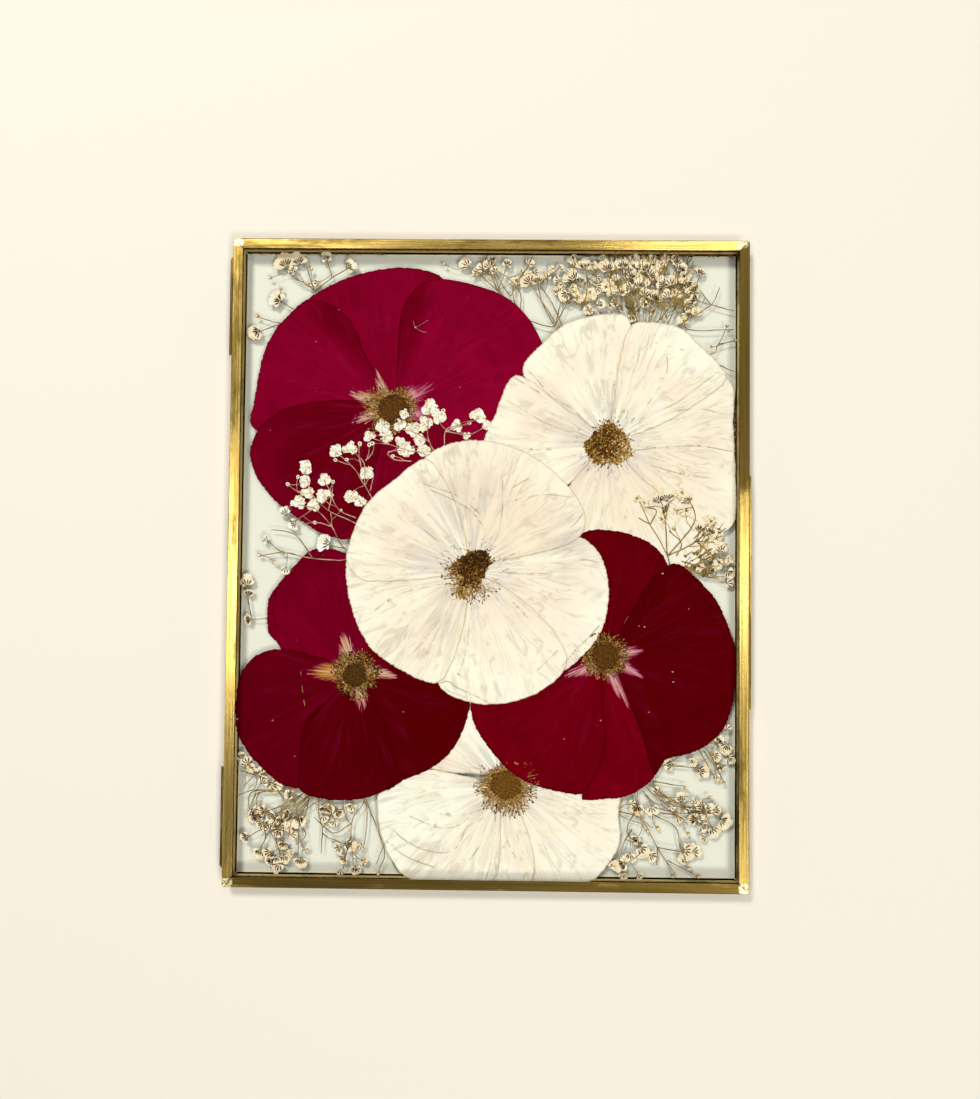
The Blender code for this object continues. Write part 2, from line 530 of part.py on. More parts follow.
def add_pressed(name, loops, inner, rise, material):
    # A flat form of one or more overlapping outlines, laid on what is below it. rise gives its
    # thickness at a point.
    loops = [turned_left(loop) for loop in loops]
    corners = [Vector(point) for loop in loops for point in loop] + [Vector(point) for point in inner]
    faces = []
    first = 0
    for loop in loops:
        faces.append(list(range(first, first + len(loop))))
        first += len(loop)
    found = delaunay_2d_cdt(corners, [], faces, 0, MERGE)
    covered = [face for face, origin in zip(found[2], found[5]) if origin]
    # Only the joint outline and the inner points are kept, and filled once more
    sides = [tuple(sorted((a, b))) for face in covered for a, b in zip(face, face[1:] + face[:1])]
    rim = [side for side in set(sides) if sides.count(side) == 1]
    inner_places = {place for place, origin in enumerate(found[3]) if any(o >= first for o in origin)}
    used = sorted({corner for side in rim for corner in side} | inner_places)
    number = {corner: place for place, corner in enumerate(used)}
    kept = [found[0][corner] for corner in used]
    found = delaunay_2d_cdt(kept, sorted((number[a], number[b]) for a, b in rim), [], 0, MERGE)
    points = [(point.x, point.y) for point in found[0]]
    triangles = []
    for face in found[2]:
        middle = sum((found[0][corner] for corner in face), Vector((0, 0))) / 3
        if any(inside_outline(middle, loop) for loop in loops):
            triangles.append(face)

    bottoms = rest_heights(points, triangles)
    thick = np.array([rise(x, y) for x, y in points])
    lay_down(points, triangles, bottoms + thick)

    form = bmesh.new()
    layer = form.verts.layers.float.new("thickness")
    verts = [form.verts.new((x, y, z)) for (x, y), z in zip(points, bottoms)]
    for vert, amount in zip(verts, thick):
        vert[layer] = amount
    for triangle in triangles:
        form.faces.new([verts[corner] for corner in triangle])
    grown = bmesh.ops.extrude_face_region(form, geom=form.faces[:], use_keep_orig=True)["geom"]
    for part in grown:
        if isinstance(part, bmesh.types.BMVert):
            part.co.z += part[layer]
    return add_object(name, form, material)


# ---- roses

def smooth_outline(points):
    # A closed Catmull-Rom curve through the points, with one more point in each long stretch
    outline = []
    count = len(points)
    for i in range(count):
        a, b, c, d = (Vector(points[(i + k) % count]) * MM for k in (-1, 0, 1, 2))
        outline.append(b)
        if (c - b).length > LONG_STRETCH:
            outline.append((9 * (b + c) - a - d) / 16)
    return outline


def inner_points(outline, spacing):
    # Points of a triangular grid well inside the outline
    low_x = min(point.x for point in outline)
    low_y = min(point.y for point in outline)
    high_x = max(point.x for point in outline)
    high_y = max(point.y for point in outline)
    found = []
    row = 0
    y = low_y + spacing / 2
    while y < high_y:
        x = low_x + spacing * (0.5 if row % 2 else 0.0)
        while x < high_x:
            point = Vector((x, y))
            apart = min((point - corner).length for corner in outline)
            if apart > 0.45 * spacing and inside_outline(point, outline):
                found.append(point)
            x += spacing
        y += spacing * math.sqrt(0.75)
        row += 1
    return found


def add_rose(name, rose):
    for petal, points in rose["petals"].items():
        outline = smooth_outline(points)
        material = RED_PETAL if rose["colour"] == "red" else WHITE_PETAL
        add_pressed(f"{name}_{petal}_petal", [outline], inner_points(outline, PETAL_SPACING),
                    lambda x, y: PETAL_THICK, material)
    add_eye(name + "_eye", Vector(rose["eye"]) * MM, rose["eye_radius"] * MM, rose["filaments"])


def add_eye(name, middle, radius, filaments):
    # The flower's brown middle: a low dome with a ragged ring of stamens round it
    chance = random.Random(name)
    outline = []
    for step in range(2 * filaments):
        angle = math.pi * step / filaments
        reach = chance.uniform(0.92, 1.18) if step % 2 else chance.uniform(0.66, 0.80)
        outline.append(middle + Vector((math.cos(angle), math.sin(angle))) * radius * reach)
    ring = [middle + Vector((math.cos(angle), math.sin(angle))) * radius * 0.4
            for angle in (math.tau * step / 8 for step in range(8))]

    def rise(x, y):
        share = min((Vector((x, y)) - middle).length / radius, 1.0)
        return EYE_RIM + (EYE_RISE - EYE_RIM) * (1 - share ** 2)

    add_pressed(name, [outline], ring + [middle], rise, EYE)


# ---- baby's breath

def stem_loop(points):
    # A strip along a run of points
    left = []
    right = []
    for i, point in enumerate(points):
        along = (points[min(i + 1, len(points) - 1)] - points[max(i - 1, 0)]).normalized()
        side = Vector((-along.y, along.x)) * STEM_WIDTH / 2
        left.append(point + side)
        right.append(point - side)
    return right + left[::-1]


def add_sprig(name, sprig):
    chance = random.Random(name)
    loops = []
    for stem in sprig["stems"]:
        loops.append(stem_loop([Vector(point) * MM for point in stem]))
    middles = []
    for x, y, radius in sprig["florets"]:
        middle = Vector((x, y)) * MM
        turn = chance.uniform(0, math.tau)
        loops.append([middle + Vector((math.cos(turn + math.tau * i / LOBES),
                                       math.sin(turn + math.tau * i / LOBES)))
                      * radius * MM * chance.uniform(0.94, 1.12) for i in range(LOBES)])
        middles.append((middle, radius * MM))

    def rise(px, py):
        height = STEM_THICK
        for middle, radius in middles:
            share = (Vector((px, py)) - middle).length / radius
            if share < 0.8:
                height = max(height, STEM_THICK + (FLORET_RISE - STEM_THICK) * (1 - share ** 2))
        return height

    add_pressed(name, loops, [middle for middle, _ in middles], rise, SPRIG)


# ---- putting it together

pivot = bpy.data.objects.new("front_leaf_pivot", None)
bpy.context.scene.collection.objects.link(pivot)
pivot.location = (AXIS_X, 0, AXIS_Z)

add_leaf("back", None)
add_leaf("front", pivot)
for place, middle in (("upper", HINGE_Y), ("lower", -HINGE_Y)):
    add_hinge_half(f"{place}_hinge_fixed_half", middle, False, None)
    add_hinge_half(f"{place}_hinge_moving_half", middle, True, pivot)
add_clasp(pivot)
for name in LAYING_ORDER:
    if name in ROSES:
        add_rose(name, ROSES[name])
    else:
        add_sprig(name, SPRIGS[name])
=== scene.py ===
# Pressed flower frame: six pressed roses and nine sprigs of baby's breath between two hinged panes,
# each edged in brass channel. Flat places below are in millimetres from the frame's middle.
import math
import random
from collections import Counter
from functools import partial

import bpy
import numpy as np
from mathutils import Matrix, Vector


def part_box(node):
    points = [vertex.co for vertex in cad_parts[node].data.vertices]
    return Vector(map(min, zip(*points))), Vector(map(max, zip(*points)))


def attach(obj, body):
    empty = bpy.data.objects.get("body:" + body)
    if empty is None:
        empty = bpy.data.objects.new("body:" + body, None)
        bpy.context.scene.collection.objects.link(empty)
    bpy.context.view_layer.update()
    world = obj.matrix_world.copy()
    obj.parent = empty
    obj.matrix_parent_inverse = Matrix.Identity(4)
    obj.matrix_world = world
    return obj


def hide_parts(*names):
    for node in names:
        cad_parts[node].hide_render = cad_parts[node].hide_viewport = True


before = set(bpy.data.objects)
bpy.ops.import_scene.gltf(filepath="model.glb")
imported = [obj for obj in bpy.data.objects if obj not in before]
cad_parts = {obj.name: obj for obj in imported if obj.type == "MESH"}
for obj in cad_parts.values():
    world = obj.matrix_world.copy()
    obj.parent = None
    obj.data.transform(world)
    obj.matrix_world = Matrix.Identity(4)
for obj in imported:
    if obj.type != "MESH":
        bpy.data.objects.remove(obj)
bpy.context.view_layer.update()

mm = 0.001
# settings that many nodes share
smooth = {"interpolation_type": "SMOOTHSTEP"}
times, plus, minus = {"operation": "MULTIPLY"}, {"operation": "ADD"}, {"operation": "SUBTRACT"}
timesPlus, above = {"operation": "MULTIPLY_ADD"}, {"operation": "GREATER_THAN"}
unsigned = {"operation": "ABSOLUTE"}


# Small helpers

def hexColour(code):
    # sRGB hex to the linear values that a shader takes
    parts = [int(code[i:i + 2], 16) / 255 for i in (1, 3, 5)]
    return (*[p / 12.92 if p <= 0.04045 else ((p + 0.055) / 1.055) ** 2.4 for p in parts], 1.0)


def addNode(tree, kind, inputs=(), out=0, **settings):
    # adds one node and gives its output; an input is a value, a hex colour or the output that feeds it
    node = tree.nodes.new("ShaderNode" + kind)
    for name, value in settings.items():
        setattr(node, name, value)
    for socket, value in dict(inputs).items():
        if isinstance(value, bpy.types.NodeSocket):
            tree.links.new(value, node.inputs[socket])
        else:
            node.inputs[socket].default_value = hexColour(value) if isinstance(value, str) else value
    return node.outputs[out] if node.outputs else node


def newMaterial(name):
    # an empty material, and the function that adds nodes to it
    material = bpy.data.materials.new(name)
    material.use_nodes = True
    material.node_tree.nodes.clear()
    return material, partial(addNode, material.node_tree)


def layerColours(add, colour, layers):
    # lays colours over one another: each has a share, or a value with where its share starts, where it
    # is full and how much that is
    for code, share, *steps in layers:
        if steps:
            low, high, top = (*steps, 1.0)[:3]
            share = add("MapRange", {0: share, 1: low, 2: high, 4: top}, **smooth)
        colour = add("Mix", {0: share, 6: colour, 7: code}, 2, data_type="RGBA")
    return colour


def endMaterial(add, colour, roughness, height=None, bump=(0, 0), **more):
    # the shader, over a bump of a strength and a depth in mm
    inputs = {"Base Color": colour, "Roughness": roughness, **more}
    if height is not None:
        inputs["Normal"] = add("Bump", {"Strength": bump[0], "Distance": bump[1] * mm, "Height": height})
    add("OutputMaterial", {"Surface": add("BsdfPrincipled", inputs)})


def onlySelect(item):
    bpy.ops.object.select_all(action="DESELECT")
    item.select_set(True)
    bpy.context.view_layer.objects.active = item


def settle(item):
    # the object's place, turn and size go into its mesh
    onlySelect(item)
    bpy.ops.object.transform_apply(location=True, rotation=True, scale=True)


def modify(item, kind, **settings):
    # gives a modifier its settings and applies it
    modifier = item.modifiers.new(kind.lower(), kind)
    for name, value in settings.items():
        setattr(modifier, name, value)
    onlySelect(item)
    bpy.ops.object.modifier_apply(modifier=modifier.name)


def paint(item, material):
    item.data.materials.clear()
    item.data.materials.append(material)


# Camera, floor and lights

cameraView = {"place": (0.0058909, -0.0080732, 0.3937177), "turn": (1.9074, 0.7252, 0.5639), "lens": 32.1}
studio = {"floorSize": 6.0, "floorDrop": 0.00005, "floorColour": "#f6efe2", "lampHeight": 1.6,
          "lampColour": (0.995, 0.99, 0.952), "skyColour": (1.0, 0.97, 0.92, 1), "horizon": 0.4,
          "overhead": 0.006}
# each lamp faces straight down: place across and up the picture and size in metres, brightness. Their edges
# stay outside the zone that the panes mirror into the camera; the four small ones light the bars beside it
lamps = {
    "windowLamp": ((-0.62, 1.09), (0.5, 0.44), 36.5),
    "roomLamp": ((0.75, -0.95), (0.4, 0.4), 21.5),
    "rightLamp": ((0.76, -0.25), (0.34, 0.8), 3.8),
    "topLamp": ((0.4, 1.09), (1.0, 0.4), 1.8),
    "lowerLamp": ((0.1, -1.07), (1.4, 0.44), 2.8),
    "leftBarLamp": ((-0.62, 0.0), (0.1, 0.38), 32.0),
    "cornerBarLamp": ((-0.64, -0.74), (0.14, 0.14), 9.0),
    "rightBarLamp": ((0.57, 0.03), (0.1, 0.18), 34.0),
    "topBarLamp": ((0.41, 0.75), (0.2, 0.08), 40.0),
}


def buildStudio():
    bpy.ops.object.camera_add(location=cameraView["place"],
                              rotation=[math.radians(angle) for angle in cameraView["turn"]])
    camera = bpy.context.object
    camera.data.lens = cameraView["lens"]
    camera.data.clip_start = 0.01
    bpy.context.scene.camera = camera

    bpy.ops.mesh.primitive_plane_add(size=studio["floorSize"], location=(0, 0, -studio["floorDrop"]))
    floor = bpy.context.object
    floor.name = "floor"
    settle(floor)
    # painted board: even and matt, the light alone gives it shade
    material, add = newMaterial("pale painted board")
    endMaterial(add, studio["floorColour"], 0.8, **{"Specular IOR Level": 0.2})
    paint(floor, material)

    for name, (place, (wide, high), glow) in lamps.items():
        bpy.ops.object.light_add(type="AREA", location=(*place, studio["lampHeight"]))
        light = bpy.context.object
        light.name = name
        light.data.shape = "RECTANGLE"
        light.data.size, light.data.size_y = wide, high
        light.data.energy = glow * math.pi * wide * high
        light.data.color = studio["lampColour"]

    # a dim ceiling over a light horizon
    world = bpy.data.worlds.new("studio")
    bpy.context.scene.world = world
    world.use_nodes = True
    world.node_tree.nodes.clear()
    add = partial(addNode, world.node_tree)
    upward = add("SeparateXYZ", {0: add("TexCoord", out="Generated")}, "Z")
    strength = add("MapRange", {0: upward, 1: 0.1, 2: 0.6, 3: studio["horizon"], 4: studio["overhead"]},
                   **smooth)
    sky = add("Background", {"Color": studio["skyColour"], "Strength": strength})
    add("OutputWorld", {"Surface": sky})
    bpy.context.scene.view_settings.view_transform = "Standard"
    print("studio ready")


# Brass and glass

# sizes in mm: file grain, its length, dark patches and how far they are drawn out, pits, where the other
# leaf's lip ends and how far solder runs from the mitre
brassLook = {"fresh": "#c9ad62", "worn": "#86692c", "dark": "#463610", "satinFresh": "#ffe9a6",
             "satinWorn": "#e0b85c", "oxide": "#2b1a08", "solder": "#f3e6b4", "solderDull": "#a58f55",
             "grain": 0.4, "grainLength": 45, "patch": 14, "patchDrawn": 4, "pit": 0.7, "lip": 3.2,
             "run": 2.3}
glassLook = {"tint": (0.992, 1.0, 0.995, 1), "facing": 0.006, "gloss": 0.015}
# how tarnished each rail is; on the front rails this level also paints the shade or light that each bar gets
# from the lamps
tarnishAndShadeByRail = {"front_top": 0.8, "front_left": 0.15, "front_right": 0.5, "front_bottom": 1.1,
             "back_top": 0.2, "back_left": 0.3, "back_right": 0.7, "back_bottom": 0.3}
# a length of the bar painted brighter (below 0) as a highlight or darker as shade: its middle and reach
# along the bar in mm, how much
paintedLightStretches = {"front_top": (84, 42, -0.4), "front_right": (90, 70, 0.35), "front_left": (110, 70, 0.16)}


def brassMaterial(name, turned, tarnish, leaf=None, paintedLightStretch=None):
    # raw cartridge brass strip, drawn and hand filed: fine lines along the bar, warm yellow where rubbed and
    # brown where fingers and flux left it to darken; lengths of a bar painted brighter or darker stand for
    # highlight and shade
    material, add = newMaterial(name)
    place = add("TexCoord", out="Object")
    thin, long = 1000 / brassLook["grain"], 1000 / brassLook["grainLength"]
    drawn = 1 / brassLook["patchDrawn"]
    fine, broad = (thin, long, thin), (1, drawn, 1)
    if not turned:
        fine, broad = (long, thin, thin), (drawn, 1, 1)
    grain = add("TexNoise", {"Vector": add("Mapping", {"Vector": place, "Scale": fine}), "Scale": 1.0,
                             "Detail": 3.0})
    patch = add("TexNoise", {"Vector": add("Mapping", {"Vector": place, "Scale": broad}),
                             "Scale": 1000 / brassLook["patch"], "Detail": 6.0, "Roughness": 0.7})
    pits = add("TexNoise", {"Vector": place, "Scale": 1000 / brassLook["pit"], "Detail": 2.0})
    # a length of the bar painted brighter as a highlight, or darker as shade
    if paintedLightStretch:
        middle, reach, change = paintedLightStretch
        along = add("SeparateXYZ", {0: place}, 1 if turned else 0)
        gap = add("Math", {0: add("Math", {0: along, 1: middle * mm}, **minus)}, **unsigned)
        near = add("MapRange", {0: gap, 1: reach * mm, 2: (reach - 22) * mm, 4: change}, **smooth)
        patch = add("Math", {0: patch, 1: near}, **plus)
    worn = add("MapRange", {0: patch, 1: 0.6 - tarnish * 0.3, 2: 0.8 - tarnish * 0.3, 4: 0.85}, **smooth)
    # the back leaf's brass is rougher, and lighter in colour as painted light, so that its lip shows lit
    # beside the front bar
    fresh, old, gloss = ("satinFresh", "satinWorn", 0.6) if leaf == "back" else ("fresh", "worn", 0.24)
    colour = layerColours(add, brassLook[fresh], [(brassLook[old], grain, 0.38, 0.62, 0.8),
                                                  (brassLook["dark"], worn),
                                                  (brassLook["dark"], pits, 0.66, 0.74, 0.8)])
    rough = add("Math", {0: worn, 1: 0.16, 2: gloss}, **timesPlus)
    height = add("Math", {0: pits, 1: 0.6, 2: grain}, **timesPlus)
    if leaf:
        # brown oxide inside the channel and where the leaves press together, by how far in from the edge;
        # this also paints the shade in the slot
        spot = add("SeparateXYZ", {0: add("VectorMath", {0: place}, **unsigned)}).node.outputs
        halfX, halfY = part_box("front_right_rail")[1].x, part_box("front_top_rail")[1].y
        inward = add("Math", {0: halfX if turned else halfY, 1: spot[0 if turned else 1]}, **minus)
        channel = 1.65 * mm if leaf == "back" else 5.95 * mm
        inside = add("Math", {0: spot[2], 1: channel, 2: 1.29 * mm}, operation="COMPARE")
        oxide = add("Math", {0: inside, 1: add("Math", {0: inward, 1: 0.5 * mm}, **above)}, **times)
    if leaf == "back":
        # on the back lip, dark where the front leaf's lip lies over it, with a ragged line where that lip
        # ends: oxide and painted shadow
        lip = brassLook["lip"]
        ragged = add("Math", {0: add("Math", {0: pits, 1: 0.5}, **minus), 1: 0.5 * mm, 2: inward},
                     **timesPlus)
        seam = add("MapRange", {0: ragged, 1: (lip + 0.1) * mm, 2: (lip - 0.1) * mm}, **smooth)
        upper = add("Math", {0: seam, 1: add("Math", {0: spot[2], 1: 3 * mm}, **above)}, **times)
        oxide = add("Math", {0: oxide, 1: upper}, operation="MAXIMUM")
    if leaf == "front":
        # soft solder run over the mitre and left unpolished: pale, lumpy and bright
        corner = [halfX - 1.9 * mm, halfY - 1.9 * mm, 0]
        flat = add("CombineXYZ", {0: spot[0], 1: spot[1]})
        gap = add("VectorMath", {0: flat, 1: corner}, "Value", operation="DISTANCE")
        gap = add("Math", {0: patch, 1: 3 * mm, 2: gap}, **timesPlus)
        far = brassLook["run"]
        solder = add("MapRange", {0: gap, 1: (far + 1.7) * mm, 2: (far + 1.2) * mm}, **smooth)
        lumps = add("TexNoise", {"Vector": place, "Scale": 1400.0, "Detail": 4.0})
        run = layerColours(add, brassLook["solder"], [(brassLook["solderDull"], lumps, 0.42, 0.6)])
        colour = layerColours(add, colour, [(run, solder)])
        height = add("Math", {0: add("Math", {0: solder, 1: lumps}, **times), 1: 5.0, 2: height},
                     **timesPlus)
    if leaf:
        colour = layerColours(add, colour, [(brassLook["oxide"], oxide)])
    endMaterial(add, colour, rough, height, (0.25, 0.04), Metallic=1.0)
    return material


def glassMaterial():
    # picture glass: clear float glass, faintly green, a thin reflection that grows at low angles
    material, add = newMaterial("float glass")
    grazing = add("Math", {0: add("LayerWeight", {"Blend": 0.5}, "Facing"), 1: 5.0}, operation="POWER")
    share = add("Math", {0: grazing, 1: 1 - glassLook["facing"], 2: glassLook["facing"]}, **timesPlus)
    clear = add("BsdfTransparent", {"Color": glassLook["tint"]})
    mirror = add("BsdfAnisotropic", {"Color": (1, 1, 1, 1), "Roughness": glassLook["gloss"]})
    pane = add("MixShader", {0: share, 1: clear, 2: mirror})
    add("OutputMaterial", {"Surface": pane})
    return material


def dressFrame():
    tarnished = brassMaterial("tarnished brass", True, 0.95)
    glass = glassMaterial()
    for name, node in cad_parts.items():
        if name.endswith("pane"):
            paint(node, glass)
        elif name.endswith("rail"):
            rail = name[:-len("_rail")]
            leaf, side = rail.split("_")
            finish = "brushed brass, " if leaf == "front" else "satin brass, "
            turned = side in ("left", "right")
            paint(node, brassMaterial(finish + side, turned, tarnishAndShadeByRail[rail], leaf, paintedLightStretches.get(rail)))
        elif "hinge" in name or "clasp" in name:
            paint(node, tarnished)
    print("frame dressed")


# The ground that each flower is laid on: its height in each half-millimetre cell

cell = 0.5
halfWide, halfHigh = 103, 128.5
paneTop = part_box("back_pane")[1].z / mm
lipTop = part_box("back_top_rail")[1].z / mm
lipInner = (-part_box("back_left_rail")[1].x / mm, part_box("back_top_rail")[0].y / mm)
gridX, gridY = np.meshgrid(np.arange(-halfWide, halfWide, cell) + cell / 2,
                           np.arange(-halfHigh, halfHigh, cell) + cell / 2)
onLip = (abs(gridX) > lipInner[0] - 0.4) | (abs(gridY) > lipInner[1] - 0.4)
ground = np.where(onLip, lipTop, paneTop)
redness = np.zeros(ground.shape)


def sample(field, points):
    # a field's value at each place, straight between cells
    column = np.clip((points[:, 0] + halfWide) / cell - 0.5, 0, field.shape[1] - 1.001)
    row = np.clip((points[:, 1] + halfHigh) / cell - 0.5, 0, field.shape[0] - 1.001)
    left, low = column.astype(int), row.astype(int)
    a, b = column - left, row - low
    return ((field[low, left] * (1 - a) + field[low, left + 1] * a) * (1 - b)
            + (field[low + 1, left] * (1 - a) + field[low + 1, left + 1] * a) * b)


def spread(field, cells):
    # each cell takes the highest of those round it
    for axis in (0, 1):
        field = np.max([np.roll(field, step, axis) for step in range(-cells, cells + 1)], axis=0)
    return field


def soften(field, cells):
    for axis in (0, 1):
        field = np.mean([np.roll(field, step, axis) for step in range(-cells, cells + 1)], axis=0)
    return field


def raiseGround(points, radius, tops):
    # stamps small round heights on the ground
    for (x, y), top in zip(points, tops):
        low = int((y - radius + halfHigh) / cell), int((x - radius + halfWide) / cell)
        high = int((y + radius + halfHigh) / cell) + 2, int((x + radius + halfWide) / cell) + 2
        window = slice(max(low[0], 0), high[0]), slice(max(low[1], 0), high[1])
        near = np.hypot(gridX[window] - x, gridY[window] - y) < radius + cell / 2
        ground[window] = np.where(near, np.maximum(ground[window], top), ground[window])


def nearest(points, line, reach=3.0):
    # how far each point is from a run of points, up to reach
    best = np.full(len(points), reach)
    line = np.asarray(line, float)
    for start, stop in zip(line[:-1], line[1:]):
        low, high = np.minimum(start, stop) - reach, np.maximum(start, stop) + reach
        near = np.flatnonzero((points[:, 0] > low[0]) & (points[:, 0] < high[0])
                              & (points[:, 1] > low[1]) & (points[:, 1] < high[1]))
        if len(near):
            step, away = stop - start, points[near] - start
            share = np.clip(away @ step / max(step @ step, 1e-12), 0, 1)
            best[near] = np.minimum(best[near], np.hypot(*(away - share[:, None] * step).T))
    return best


def within(points, loop):
    inside = np.zeros(len(points), bool)
    x, y = points.T
    for (ax, ay), (bx, by) in zip(loop, np.roll(loop, -1, axis=0)):
        if ay != by:
            inside ^= ((ay > y) != (by > y)) & (x < ax + (y - ay) * (bx - ax) / (by - ay))
    return inside


def gridMask(loop):
    # the cells inside a closed outline
    cells = np.stack([gridX.ravel(), gridY.ravel()], 1)
    close = np.all((cells > loop.min(0) - 1) & (cells < loop.max(0) + 1), axis=1)
    mask = np.zeros(len(cells), bool)
    mask[close] = within(cells[close], loop)
    return mask.reshape(gridX.shape)


def insideEdge(points, loop):
    # distance in from a closed outline, negative outside it
    return np.where(within(points, loop), 1, -1) * nearest(points, np.vstack([loop, loop[:1]]))


def smoothRun(points, steps=4):
    # a Catmull-Rom curve through a run of points
    points = [np.array(point, float) for point in points]
    ends = [2 * points[0] - points[1]] + points + [2 * points[-1] - points[-2]]
    run = []
    for a, b, c, d in zip(ends, ends[1:], ends[2:], ends[3:]):
        for t in np.arange(steps) / steps:
            run.append(0.5 * (2 * b + (c - a) * t + (2 * a - 5 * b + 4 * c - d) * t ** 2
                              + (3 * b - a - 3 * c + d) * t ** 3))
    return np.array(run + [points[-1]])


# Roses. petals: lowest first; tones: from bright to deep; flares: the pale claw from and to, its width and
# tone; bruises: place and reach; pushes: place, reach and how far its edge is moved

petalLook = {"thick": 0.06, "gap": 0.03, "weld": 0.008, "finer": 3, "creaseReach": 1.0, "creaseWidth": 0.28,
             "creaseRise": 0.07, "waveRise": 0.035, "ragged": 0.09, "hideReach": 14}
